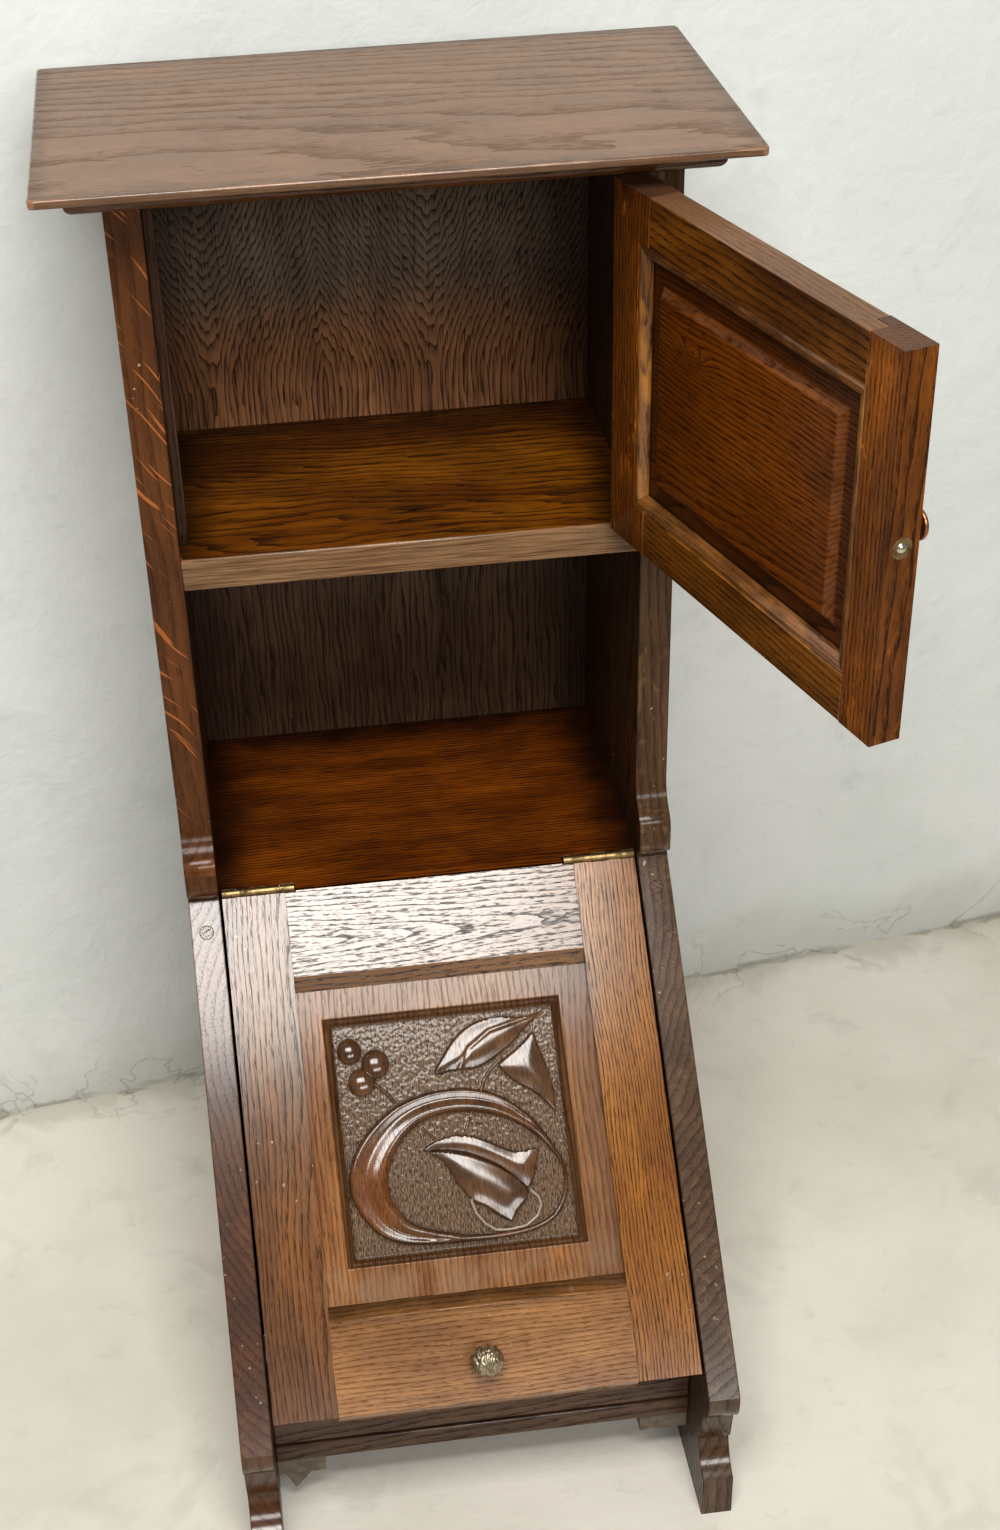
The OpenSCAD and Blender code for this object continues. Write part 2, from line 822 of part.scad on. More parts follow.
// carved panel: a sunk ground with raised berries, leaves and a tapering ring
module lid_panel() {
    cx0 = -st_x + 17;
    cx1 = st_x - 22;
    cs0 = tr_s + 21;
    cs1 = br_s - 24;
    pb = p_top - 10;
    zg = p_top - carve_d;
    oak() at_lid() union() {
        difference() {
            lbox(-st_x, tr_s, pb, st_x, br_s, p_top);
            lbox(cx0 + 3, cs0 + 3, zg, cx1 - 3, cs1 - 3, p_top + 1);
            lbox(cx0, cs0, p_top - 1.5, cx1, cs1, p_top + 1);
        }
        lbox(-st_x - gr + 0.6, tr_s - gr + 0.6, g0, -st_x, br_s + gr - 0.6, g1);
        lbox(st_x, tr_s - gr + 0.6, g0, st_x + gr - 0.6, br_s + gr - 0.6, g1);
        lbox(-st_x, tr_s - gr + 0.6, g0, st_x, tr_s, g1);
        lbox(-st_x, br_s, g0, st_x, br_s + gr - 0.6, g1);
        intersection() {
            lbox(cx0 + 3, cs0 + 3, zg, cx1 - 3, cs1 - 3, p_top);
            translate([0, -(cs0 + cs1) / 2, zg]) motifs();
        }
    }
}

module motifs() {
    h = carve_d - 0.8;
    for (b = [[-70, 64, 8.2], [-51.6, 53, 8.6], [-63.4, 41.5, 9.2]]) {
        translate([b[0], b[1], -b[2] + h]) sphere(r = b[2], $fn = 40);
    }
    linear_extrude(h - 0.8) difference() {
        translate([-3, -24]) scale([1, 0.71]) circle(r = 76, $fn = 96);
        translate([7.5, -26.5]) scale([1, 0.69]) circle(r = 61.5, $fn = 96);
    }
    linear_extrude(h) leaf_shape(30, 62, 44, 22, 24);
    linear_extrude(h) leaf_shape(55, 34, 34, 15, -62);
    linear_extrude(h) leaf_shape(14, -20, 40, 13, -18);
    linear_extrude(h) leaf_shape(4, -35, 39, 14, -44);
}

// a pointed leaf from two arcs: centre, half length, half width, turn
module leaf_shape(x, y, a, w, turn) {
    r = (a * a + w * w) / (2 * w);
    translate([x, y]) rotate(turn) intersection() {
        translate([0, w - r]) circle(r = r, $fn = 120);
        translate([0, r - w]) circle(r = r, $fn = 120);
    }
}

module knob_screw_cut() {
    translate([0, -knob_s, l_in - 1]) cylinder(h = lid_t + 2, r = 2);
    translate([0, -knob_s, l_in]) cylinder(h = 2, r1 = 4, r2 = 2);
}

module lid_knob() {
    brass() at_lid() translate([0, -knob_s, l_out]) difference() {
        rotate_extrude($fn = 48) union() {
            square([8, 2.2]);
            square([4.6, 8]);
            translate([0, 16]) intersection() {
                circle(r = 11.6, $fn = 80);
                translate([0, -12]) square([12, 24]);
            }
            translate([0, 20]) intersection() {
                circle(r = 7, $fn = 60);
                square([8, 8]);
            }
        }
        translate([0, 0, -1]) cylinder(h = 9, r = 2);
    }
}

module lid_knob_screw() {
    brass() at_lid() translate([0, -knob_s, 0]) difference() {
        union() {
            translate([0, 0, l_in]) cylinder(h = 2, r1 = 4, r2 = 2);
            translate([0, 0, l_in + 1]) cylinder(h = lid_t + 7, r = 2);
        }
        translate([-5, -0.4, l_in - 1]) cube([10, 0.8, 1.6]);
    }
}

// ---------- lid hinges ----------
lp_z = -lid_rec;
leaf_y0 = 2.7;
leaf_y1 = leaf_y0 + 14;

// the hinge frame laid on the lid axis: pin along X, leaves running in behind the face
module at_lid_hinge(h) {
    translate([h + hinge_l, -pin_s, lp_z]) rotate([0, -90, 0]) rotate([0, 0, 90]) children();
}

lg = (lid_s0 - deck_s) / 2 - leaf_t;

module lid_hinge_fixed() {
    brass() at_lid() difference() {
        for (h = hinge_x) {
            at_lid_hinge(h) {
                knuckles(0, lkn_r, pin_r);
                leaf(0, lkn_r, lg, leaf_y0, leaf_y1);
            }
        }
        for (h = hinge_x, p = lid_screw_pos()) {
            translate([h + p[1], -deck_s - leaf_t, p[0]]) rotate([90, 0, 0]) screw_head_cut(1.3);
        }
    }
}

module lid_hinge_moving() {
    brass() at_lid() difference() {
        for (h = hinge_x) {
            at_lid_hinge(h) {
                knuckles(1, lkn_r, pin_r + 0.05);
                mirror([1, 0, 0]) leaf(1, lkn_r, lg, leaf_y0, leaf_y1);
            }
        }
        for (h = hinge_x, p = lid_screw_pos()) {
            translate([h + p[1], -lid_s0 + leaf_t, p[0]]) rotate([-90, 0, 0]) screw_head_cut(1.3);
        }
    }
}

function lid_screw_pos() = [for (p = screw_pos(leaf_y0, leaf_y1)) [lp_z - leaf_y1 + 3.6, p[1]]];

module lid_hinge_pins() {
    brass() at_lid() for (h = hinge_x) {
        at_lid_hinge(h) cylinder(h = hinge_l, r = pin_r);
    }
}

module lid_fixed_holes() {
    at_lid() for (h = hinge_x, p = lid_screw_pos()) {
        translate([h + p[1], -deck_s - 1, p[0]]) rotate([-90, 0, 0]) cylinder(h = 8, r = 1.3);
    }
}

module lid_moving_holes() {
    for (p = lid_screw_pos()) {
        translate([hinge_x[1] + p[1], -lid_s0 + 1, p[0]]) rotate([90, 0, 0]) cylinder(h = 14, r = 1.3);
    }
}

module lid_screws_fixed() {
    brass() at_lid() for (h = hinge_x, p = lid_screw_pos()) {
        translate([h + p[1], -deck_s - leaf_t, p[0]]) rotate([90, 0, 0]) difference() {
            screw(7 + leaf_t, 1.3);
            screw_slot(1.3);
        }
    }
}

module lid_screws_moving() {
    brass() at_lid() for (h = hinge_x, p = lid_screw_pos()) {
        translate([h + p[1], -lid_s0 + leaf_t, p[0]]) rotate([-90, 0, 0]) difference() {
            screw(13 + leaf_t, 1.3);
            screw_slot(1.3);
        }
    }
}

// ---------- liner and its handle ----------
module coal_liner() {
    t = liner_t;
    steel() difference() {
        along_x(-ln_hw, ln_hw)
            polygon([[ln_y0, ln_z0], [ln_y0, ln_front_z],
                [ln_y0 + (ln_top_z - ln_front_z) * ca / sa, ln_top_z], [ln_y1, ln_top_z], [ln_y1, ln_z0]]);
        box(-ln_hw + t, ln_y0 + t, ln_z0 + t, ln_hw - t, ln_y1 - t, ln_top_z + 50);
        for (m = [0, 1]) {
            mirror([m, 0, 0]) ear_rivet_holes(ln_hw - t - 1, t + 2);
        }
    }
}

module ear_rivet_holes(x, l) {
    for (dy = [-9, 9]) {
        translate([x, bail_y + dy, bail_z - 13]) rotate([0, 90, 0]) cylinder(h = l, r = 2);
    }
}

ear_x1 = ln_hw - liner_t;
ear_x0 = ear_x1 - 3;

module liner_ears() {
    steel() for (m = [0, 1]) {
        mirror([m, 0, 0]) difference() {
            union() {
                translate([ear_x0, bail_y, bail_z]) rotate([0, 90, 0]) cylinder(h = 3, r = 7);
                box(ear_x0, bail_y - 14, bail_z - 18, ear_x1, bail_y + 14, bail_z - 8);
                box(ear_x0, bail_y - 7, bail_z - 10, ear_x1, bail_y + 7, bail_z);
            }
            translate([ear_x0 - 1, bail_y, bail_z]) rotate([0, 90, 0]) cylinder(h = 5, r = bail_r + 0.08);
            ear_rivet_holes(ear_x0 - 1, 5);
        }
    }
}

module liner_rivets() {
    steel() for (m = [0, 1]) {
        mirror([m, 0, 0]) {
            ear_rivet_holes(ear_x0 - 1, liner_t + 5);
            for (dy = [-9, 9]) {
                translate([ear_x0 - 1, bail_y + dy, bail_z - 13]) rotate([0, 90, 0]) cylinder(h = 1, r = 3);
                translate([ln_hw, bail_y + dy, bail_z - 13]) rotate([0, 90, 0]) cylinder(h = 1, r = 3);
            }
        }
    }
}

// the handle hangs straight down inside the liner
module liner_bail() {
    xa = ear_x0 - 1.6 - bail_r;
    zb = bail_z - bail_l;
    steel() union() {
        for (m = [0, 1]) {
            mirror([m, 0, 0]) {
                translate([xa, bail_y, bail_z]) rotate([0, 90, 0]) cylinder(h = ear_x1 - 0.4 - xa, r = bail_r);
                translate([xa, bail_y, bail_z]) sphere(r = bail_r);
                translate([xa, bail_y, zb]) cylinder(h = bail_l, r = bail_r);
                translate([xa, bail_y, zb]) sphere(r = bail_r);
            }
        }
        translate([-xa, bail_y, zb]) rotate([0, 90, 0]) cylinder(h = 2 * xa, r = bail_r);
        translate([-45, bail_y, zb]) rotate([0, 90, 0]) cylinder(h = 90, r = bail_r + 3);
    }
}

// ---------- pieces ----------
top_board();
sub_top();
cornice_front();
cornice_left();
cornice_right();
left_side();
right_side();
back_panel();
mid_shelf();
deck();
front_rail();
bottom_board();
cleat_left();
cleat_right();
glue_block();
slope_plugs();
door_stop();
strike_plate();
strike_screws();
door_stile_hinge();
door_stile_lock();
door_rail_top();
door_rail_bottom();
door_panel();
door_bead_top();
door_bead_bottom();
door_bead_hinge();
door_bead_lock();
door_knob();
door_knob_screw();
catch_barrel();
catch_ball();
catch_spring();
door_hinge_fixed();
door_hinge_moving();
door_hinge_pins();
door_screws_fixed();
door_screws_moving();
lid_stile_left();
lid_stile_right();
lid_rail_top();
lid_rail_bottom();
lid_panel();
lid_knob();
lid_knob_screw();
lid_hinge_fixed();
lid_hinge_moving();
lid_hinge_pins();
lid_screws_fixed();
lid_screws_moving();
coal_liner();
liner_ears();
liner_rivets();
liner_bail();
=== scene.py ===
"""Looks of the oak coal cabinet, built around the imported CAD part.

Metres, in the CAD frame: +X right, +Y back, +Z up. Sizes written in millimetres are multiplied by MM.
"""

import json
import math

import bmesh
import bpy
import numpy as np
from mathutils import Matrix, Vector


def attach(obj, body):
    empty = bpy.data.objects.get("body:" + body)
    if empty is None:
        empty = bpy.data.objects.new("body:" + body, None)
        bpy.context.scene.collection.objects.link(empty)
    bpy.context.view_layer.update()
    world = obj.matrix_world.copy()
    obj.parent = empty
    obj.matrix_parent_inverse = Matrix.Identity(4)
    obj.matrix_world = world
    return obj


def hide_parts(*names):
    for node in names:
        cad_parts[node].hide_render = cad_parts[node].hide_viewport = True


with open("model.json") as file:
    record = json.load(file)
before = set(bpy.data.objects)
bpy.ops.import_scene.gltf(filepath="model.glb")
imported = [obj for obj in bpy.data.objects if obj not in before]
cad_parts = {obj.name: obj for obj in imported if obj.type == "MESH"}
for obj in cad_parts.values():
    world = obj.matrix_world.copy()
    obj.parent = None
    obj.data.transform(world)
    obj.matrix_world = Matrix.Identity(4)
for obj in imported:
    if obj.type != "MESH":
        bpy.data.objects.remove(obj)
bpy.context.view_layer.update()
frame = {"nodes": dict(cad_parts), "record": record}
scene = bpy.context.scene

MM = 0.001
MERGE = 2e-6  # corners nearer than this are one
FLAT, SHARP = math.radians(0.6), math.radians(35)  # faces turned less are one, edges turned more stay sharp
RECORD = frame["record"]
BODY_OF = {n: body for body, nodes in RECORD["behaviour"]["bodies"].items() for n in nodes}
SLOT_OF = {row["node"]: row["material_slot"] for row in RECORD["subparts"]}
X, Y, Z = Vector((1, 0, 0)), Vector((0, 1, 0)), Vector((0, 0, 1))

# the sloping lid's own frame: local X across, local -Y down the slope, local Z out of the face
SLOPE = math.radians(43.5)
LID_ORIGIN = Vector((0, -9 * MM, 392.6 * MM))
LID_TURN = Matrix.Rotation(SLOPE, 3, "X")
UP_SLOPE = LID_TURN @ Y
OUT_OF_LID = LID_TURN @ Z

# the open door's own directions and its hinge pin
DOOR_OPEN = math.radians(107.75)
DOOR_TURN = Matrix.Rotation(DOOR_OPEN, 3, "Z")
ALONG_DOOR = DOOR_TURN @ X
THROUGH_DOOR = DOOR_TURN @ Y
DOOR_PIN = Vector((149.25 * MM, -2.9 * MM, 0))


# -------- shader maths
def operator(operation, reflected=False):
    return lambda self, other: self.maths(operation, *((other, self) if reflected else (self, other)))


class Sock:
    """An output socket that can be used in Python expressions; numbers mix in freely."""

    def __init__(self, tree, socket):
        self.tree = tree
        self.socket = socket

    def maths(self, operation, *values, clamp=False):
        return self.tree.node("ShaderNodeMath", {"operation": operation, "use_clamp": clamp}, dict(enumerate(values)))

    __add__, __radd__ = operator("ADD"), operator("ADD", True)
    __sub__, __rsub__ = operator("SUBTRACT"), operator("SUBTRACT", True)
    __mul__, __rmul__ = operator("MULTIPLY"), operator("MULTIPLY", True)
    __pow__ = operator("POWER")
    least = operator("MINIMUM")

    def __abs__(self):
        return (self * self).root()

    def fraction(self):
        return self.maths("FRACT", self)

    def root(self):
        return self.maths("SQRT", self)

    def held(self):
        """Held between 0 and 1."""
        return self.maths("ADD", self, 0.0, clamp=True)

    def rise(self, low, high):
        """0 below low, 1 above high, smooth between."""
        return self.tree.node("ShaderNodeMapRange", {"interpolation_type": "SMOOTHSTEP"},
                              {"Value": self, "From Min": low, "From Max": high}, "Result")


class Tree:
    """A node tree and the one way its nodes are made: type, settings, then socket values or links."""

    def __init__(self, tree):
        self.tree = tree

    def fill(self, slot, value):
        """Links a slot to a socket, or to each of a list of sockets, or sets the slot's own value."""
        for item in value if isinstance(value, list) else [value]:
            if isinstance(item, Sock):
                self.tree.links.new(item.socket, slot)
            else:
                slot.default_value = (*item, 1.0) if slot.type == "RGBA" else item

    def node(self, kind, settings=None, values=None, out=0):
        made = self.tree.nodes.new(kind)
        for key, value in (settings or {}).items():
            setattr(made, key, value)
        for key, value in (values or {}).items():
            self.fill(made.inputs[key], value)
        return Sock(self, made.outputs[out])

    def vector(self, x, y, z):
        return self.node("ShaderNodeCombineXYZ", values={0: x, 1: y, 2: z})


class Finish(Tree):
    """A material and the nodes that it uses most."""

    def __init__(self, name):
        self.material = bpy.data.materials.new(name)
        self.material.use_nodes = True
        super().__init__(self.material.node_tree)
        self.shader = self.tree.nodes["Principled BSDF"]
        self.place = self.node("ShaderNodeTexCoord", out="Object")

    def along(self, direction, origin=(0, 0, 0)):
        """How far the surface point lies along a direction, in metres from the origin."""
        ends = {0: self.place, 1: tuple(direction)}
        shift = -Vector(direction).dot(Vector(origin))
        return self.node("ShaderNodeVectorMath", {"operation": "DOT_PRODUCT"}, ends, "Value") + shift

    def mark(self, name):
        """A 0 to 1 mask that the mesh carries."""
        return self.node("ShaderNodeAttribute", {"attribute_name": name}, out="Fac")

    def noise(self, where, scale=1.0, detail=2.0, rough=0.5, twist=0.0):
        return self.node("ShaderNodeTexNoise", values={"Vector": where, "Scale": scale, "Detail": detail,
                                                       "Roughness": rough, "Distortion": twist})

    def blend(self, factor, a, b, kind="MIX"):
        """Colour a where factor is 0, colour b (or a times b, with kind MULTIPLY) where it is 1."""
        settings = {"data_type": "RGBA", "blend_type": kind}
        return self.node("ShaderNodeMix", settings, {0: factor, 6: a, 7: b}, 2)

    def bump(self, height, depth, strength=1.0):
        values = {"Height": height, "Distance": depth, "Strength": strength}
        return self.node("ShaderNodeBump", values=values, out="Normal")

    def put(self, **sockets):
        """Fills sockets of the shader, which are named here with _ for a space."""
        for key, value in sockets.items():
            self.fill(self.shader.inputs[key.replace("_", " ")], value)


def srgb(r, g, b):
    """A screen colour (0 to 255) as the linear colour that renders as it."""
    return tuple(c / 255 / 12.92 if c / 255 <= 0.04045 else ((c / 255 + 0.055) / 1.055) ** 2.4 for c in (r, g, b))


def shade(colour, by):
    """A colour made darker or lighter."""
    return tuple(min(1.0, c * by) for c in colour)


def inset(u, v, box):
    """How far a surface point lies inside a rectangle (u0, u1, v0, v1)."""
    return (u - box[0]).least(box[1] - u).least(v - box[2]).least(box[3] - v)


# -------- finishes
def oak(name, grain, face, dark, mid, light, rings=230.0, heart=(0.05, 0.03), tilt=0.05, wobble=0.012, pores=0.6,
        band=0.3, fineness=800.0, dash=85.0, fold=None, knot=None, clear=0.1, fleck=0.0, rough=0.4, gloss=0.5,
        matt=0.9, coat=0.19, jagged=0.0032, depth=0.0003, climb=None, mottle=0.22, origin=(0, 0, 0), worn_glint=0.35,
        rim=None, slant=None, scuffs=0.0, tone=None, extra=None):
    """Stained and polished oak.

    grain runs along the board and face points out of its wide face; u, v and w lie along, across and through it.
    dark, mid and light are screen colours.
    heart is where the tree's centre lies beside and behind the board, and tilt is how fast it comes nearer along
    the board: together they draw the cathedrals. There are rings of them to a metre, bent by wobble and jagged.
    fold is (middle, half distance) of two hearts side by side, climb is (u0, u1, shift) of the rings, and knot is
    (u, v, length, width, lift). fineness and dash set how slim and how short the pores are. band, pores, mottle,
    fleck, scuffs and worn_glint say how strongly rings, pores, clouds, rays, nicks and the paler arrises show; the
    paler arrises are partly real wear and partly a painted highlight. slant is the way the rays run on a side's
    upper front edge. rim is (u0, u1, v0, v1, width, strength) of a border painted darker as shade.
    gloss is the weight of the polish and coat its roughness, matt what the pores take from it, rough and clear the
    wood's own roughness and reflection, and depth its relief. tone may change the colour at the end, and extra the
    colour (base), the roughness (polish), the weight of the polish (sheen) and the relief.
    """
    f = Finish(name)
    dark, mid, light = (srgb(*colour) for colour in (dark, mid, light))
    grain, face = Vector(grain).normalized(), Vector(face).normalized()
    u, v, w = (f.along(way, origin) for way in (grain, face.cross(grain), face))

    def streak(long, wide, **kind):
        """Noise drawn out along the grain."""
        return f.noise(f.vector(u * long, v * wide, w * wide), **kind)

    # the growth rings
    dy = abs(v - fold[0]) - fold[1] if fold else v - heart[0]
    dz = w + u * tilt + heart[1]
    r = (dy * dy + dz * dz).root() + (streak(4, 11) - 0.5) * wobble * 2 + (streak(16, 130) - 0.5) * jagged
    if climb:
        r = r + u.rise(climb[0], climb[1]) * climb[2]
    if knot:
        du, dv = (u - knot[0]) * (1 / knot[2]), (v - knot[1]) * (1 / knot[3])
        r = r + (du * du + dv * dv + 1) ** -1.0 * knot[4]
    early = (1 - (r * rings).fraction()) ** 2.2

    # pores, fibres and clouds
    cut = streak(dash, fineness, detail=1.5, rough=0.6)
    fine = streak(dash * 1.8, fineness * 2.2, detail=1.0)
    pore = ((cut + early * 0.26).rise(0.62, 0.72) * 0.75 + (fine + early * 0.16).rise(0.62, 0.74) * 0.5).held()
    patch = streak(6, 30, detail=4.0, rough=0.65)
    fibre = streak(16, 300, detail=3.0, rough=0.65)
    cloud = f.noise(f.place, 11.0, 3.0, 0.6)
    base = f.blend(patch.rise(0.34, 0.68), mid, light)
    base = f.blend(fibre.rise(0.42, 0.7) * 0.4, base, shade(mid, 0.62))
    base = f.blend((1 - cloud.rise(0.36, 0.62)) * mottle, base, dark)
    base = f.blend(early * band, base, dark)
    base = f.blend(pore * pores, base, shade(dark, 0.5))

    # rays, nicks, and a border of painted shade
    if slant:
        a, b = f.along(slant), f.along(Y.cross(slant))
        curl = f.noise(f.vector(a * 12, b * 12, w * 12), detail=1.0) * 0.02
        ray = f.noise(f.vector(a * 11, (b + curl) * 330, w * 20), detail=1.0, rough=0.4)
        edge = f.along(Z).rise(0.43, 0.52) * (1 - f.along(Y).rise(0.8 * MM, 3 * MM))
        base = f.blend(ray.rise(0.64, 0.70) * edge * fleck, base, srgb(178, 100, 46))
    elif fleck:
        ray = f.noise(f.vector(u * 60, v * 190, w * 150), twist=0.8)
        base = f.blend(ray.rise(0.56, 0.68) * streak(9, 30).rise(0.42, 0.62) * fleck, base, shade(light, 2.4))
    if scuffs:
        nick = f.noise(f.place, 190.0, 1.0).rise(0.72, 0.76) * f.noise(f.place, 14.0, 1.0).rise(0.5, 0.62)
        base = f.blend(nick * scuffs, base, srgb(186, 168, 146))
    # painted shade: darker towards the edges of a rectangle, in corners beside other parts and on edges and chamfers
    if rim:
        width, strength = rim[4:]
        border_wobble = (f.noise(f.place, 30.0, 3.0, 0.6) - 0.5) * width
        base = f.blend((1 - (inset(u, v, rim) + border_wobble).rise(0, width)) * strength, base, shade(dark, 0.35))

    # polish, and arrises glossier and paler; the paler colour is partly real wear and partly a painted highlight
    arris = f.mark("arris")
    chafe = streak(30, 60, detail=3.0).rise(0.45, 0.62)
    base = f.blend(arris * chafe * worn_glint, base, shade(light, 2.0))
    sheen = gloss - pore * gloss * matt + arris * 0.6
    polish = (pore * 0.3 + (patch - 0.5) * 0.1 + rough).held()
    relief = fibre * 0.3 - pore
    if tone:
        base = tone(f, base)
    if extra:
        base, polish, sheen, relief = extra(f, base, polish, sheen, relief)
    f.put(Base_Color=base, Roughness=polish, Coat_Weight=sheen.held())
    f.put(Coat_Roughness=coat, Specular_IOR_Level=clear)
    f.put(Normal=f.bump(relief, depth, 0.6))
    return f.material


def metal(name, bright, dull, rough=0.32, tarnish=0.5, scale=120.0):
    f = Finish(name)
    cloud = f.noise(f.place, scale, 4.0, 0.6)
    fine = f.noise(f.place, scale * 9, 2.0, 0.5)
    dirt = (cloud.rise(0.40, 0.66) * tarnish + fine.rise(0.55, 0.8) * 0.15).held()
    f.put(Base_Color=f.blend(dirt, bright, dull), Metallic=1.0, Roughness=(dirt * 0.3 + rough).held())
    f.put(Normal=f.bump(fine, 0.08 * MM, 0.4))
    return f.material


def black_iron(name, colour, rough=0.55):
    f = Finish(name)
    cloud = f.noise(f.place, 40.0, 4.0, 0.6)
    fine = f.noise(f.place, 900.0, 2.0, 0.5)
    rust = cloud.rise(0.58, 0.75) * 0.35
    f.put(Base_Color=f.blend(rust, colour, srgb(92, 60, 42)), Metallic=0.3, Roughness=(rust * 0.3 + rough).held())
    f.put(Normal=f.bump(fine, 0.1 * MM, 0.5))
    return f.material


def softwood(name, grain, face):
    f = Finish(name)
    u, v, w = f.along(grain), f.along(Vector(face).cross(Vector(grain))), f.along(face)
    stripe = f.noise(f.vector(u * 3, v * 120, w * 120), detail=3.0)
    dust = f.noise(f.place, 60.0, 3.0, 0.6)
    base = f.blend(stripe.rise(0.35, 0.7), srgb(106, 95, 80), srgb(78, 66, 52))
    base = f.blend(dust.rise(0.45, 0.75) * 0.4, base, srgb(128, 118, 102))
    f.put(Base_Color=base, Roughness=0.75, Normal=f.bump(stripe, 0.3 * MM, 0.5))
    return f.material


# -------- making pieces
def placed(name, data):
    """A new object of the scene, from a mesh, a lamp or a camera."""
    obj = bpy.data.objects.new(name, data)
    scene.collection.objects.link(obj)
    return obj


def piece(name, mesh, body, slot, finish, *nodes):
    """A finished mesh becomes a piece of the object that rides on a body and stands for CAD nodes."""
    obj = placed(name, mesh)
    mesh.materials.clear()
    mesh.materials.append(finish)
    if nodes:
        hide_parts(*nodes)
    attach(obj, body)
    return obj


def node_copy(node):
    """A CAD node's mesh with its doubles merged, opened for editing: the copy and its bmesh."""
    mesh = frame["nodes"][node].data.copy()
    bm = bmesh.new()
    bm.from_mesh(mesh)
    bmesh.ops.remove_doubles(bm, verts=bm.verts, dist=MERGE)
    return mesh, bm


def shaped(mesh, kind, settings, inputs=None):
    """A plain mesh made from another by one modifier, which goes with its work object."""
    work = placed("work", mesh)
    modifier = work.modifiers.new("work", kind)
    for key, value in settings.items():
        setattr(modifier, key, value)
    for key, value in (inputs or {}).items():
        modifier[key] = value
    made = bpy.data.meshes.new_from_object(work.evaluated_get(bpy.context.evaluated_depsgraph_get()))
    bpy.data.objects.remove(work)
    return made


def slimness(mesh, face):
    """A face's area over its longest edge: small for the strips that round an arris."""
    corners = [mesh.vertices[i].co for i in face.vertices]
    longest = max((a - b).length for a, b in zip(corners, corners[1:] + corners[:1]))
    return face.area / longest if longest else 0.0


def eased(node, arris, angle=32.0):
    """A copy of a CAD node's mesh with its arrises rounded over, and the rounded strips marked."""
    mesh, bm = node_copy(node)
    bmesh.ops.dissolve_limit(bm, angle_limit=FLAT, verts=bm.verts, edges=bm.edges)
    bm.to_mesh(mesh)
    bm.free()
    if arris:
        mesh = shaped(mesh, "BEVEL", {"width": arris, "segments": 2, "limit_method": "ANGLE",
                                      "angle_limit": math.radians(angle), "use_clamp_overlap": True})
    mesh.shade_smooth()
    mesh.set_sharp_from_angle(angle=SHARP)
    if arris:
        slim = [slimness(mesh, face) < arris * 0.8 for face in mesh.polygons]
        mark = mesh.attributes.new("arris", "FLOAT", "FACE")
        mark.data.foreach_set("value", [float(strip) for strip in slim])
        bm = bmesh.new()
        bm.from_mesh(mesh)
        bm.faces.ensure_lookup_table()
        for edge in bm.edges:
            if len({slim[face.index] for face in edge.link_faces}) == 2:
                edge.smooth = False
        bm.to_mesh(mesh)
        bm.free()
    return mesh


def dress(node, finish, arris=0.0, angle=32.0):
    """Stands an eased and finished copy in for a CAD node; arris is in millimetres."""
    return piece(node + "_made", eased(node, arris * MM, angle), BODY_OF[node], SLOT_OF[node], finish, node)


# -------- cabinet
HALF_IN, HALF_OUT = 150 * MM, 172 * MM  # the inner and the outer faces of the sides
INSIDE = (-HALF_IN, HALF_IN, -0.05, 0.206)  # what lies between the sides and in front of the back board
BACK_REAR = max(vert.co.y for vert in frame["nodes"]["back_panel"].data.vertices)
side_dark, side_mid, side_light = (26, 11, 4), (68, 36, 14), (94, 53, 21)


def shelf_tone(f, base):
    """The shelf's front edge is rubbed greyer than its top."""
    front = 1 - f.along(Y).rise(0.6 * MM, 2.2 * MM)
    streak = f.noise(f.vector(f.along(X) * 16, 0.0, f.along(Z) * 700), detail=3.0, rough=0.65)
    rubbed = f.blend(streak.rise(0.36, 0.64), srgb(82, 59, 40), srgb(142, 112, 82))
    return f.blend(front * 0.7, base, rubbed)


def back_tone(f, base):
    """The back board's front: grey high up, a painted pool of orange light just over the shelf, darker and browner
    below the shelf, and painted shade at both sides.
    """
    x, z = f.along(X), f.along(Z)
    cloud = f.noise(f.place, 14.0, 3.0, 0.6) - 0.5
    front = 1 - f.along(Y).rise(BACK_REAR - 2 * MM, BACK_REAR - 1 * MM)
    above = z.rise(0.62, 0.65)
    # painted light: an orange pool just over the shelf, for the light it throws back
    shelf_bounce_light = (1 - (z + cloud * 0.03).rise(0.695, 0.765)) * above
    base = f.blend(shelf_bounce_light * front, base, (2.4, 1.55, 0.95), "MULTIPLY")
    base = f.blend((1 - above) * front, base, (0.76, 0.58, 0.44), "MULTIPLY")
    base = f.blend((1 - above) * front * 0.3, base, srgb(50, 32, 20))
    # painted shade: darker towards both sides, in the corners with the side boards
    ends = ((HALF_IN - x).least(x + HALF_IN) + cloud * 0.03).rise(0.0, 0.05)
    return f.blend((1 - ends) * front * 0.6, base, srgb(26, 14, 8))


def side_tone(f, base, polish, sheen, relief):
    """The inner faces are painted darker as the shade inside the cabinet, and only the slopes beside the lid keep
    their full gloss.
    """
    off_centre = abs(f.along(X))
    inner = 1 - off_centre.rise(HALF_IN + 0.3 * MM, HALF_IN + 1.2 * MM)
    outer = off_centre.rise(HALF_OUT - 1.4 * MM, HALF_OUT - 0.4 * MM)
    dull = (inner + outer + f.along(Z).rise(0.39, 0.415)).held()
    # painted shade: the inner faces darkened for the shade inside the cabinet
    return f.blend(inner * 0.45, base, srgb(18, 7, 3)), polish, sheen * (1 - dull * 0.75), relief
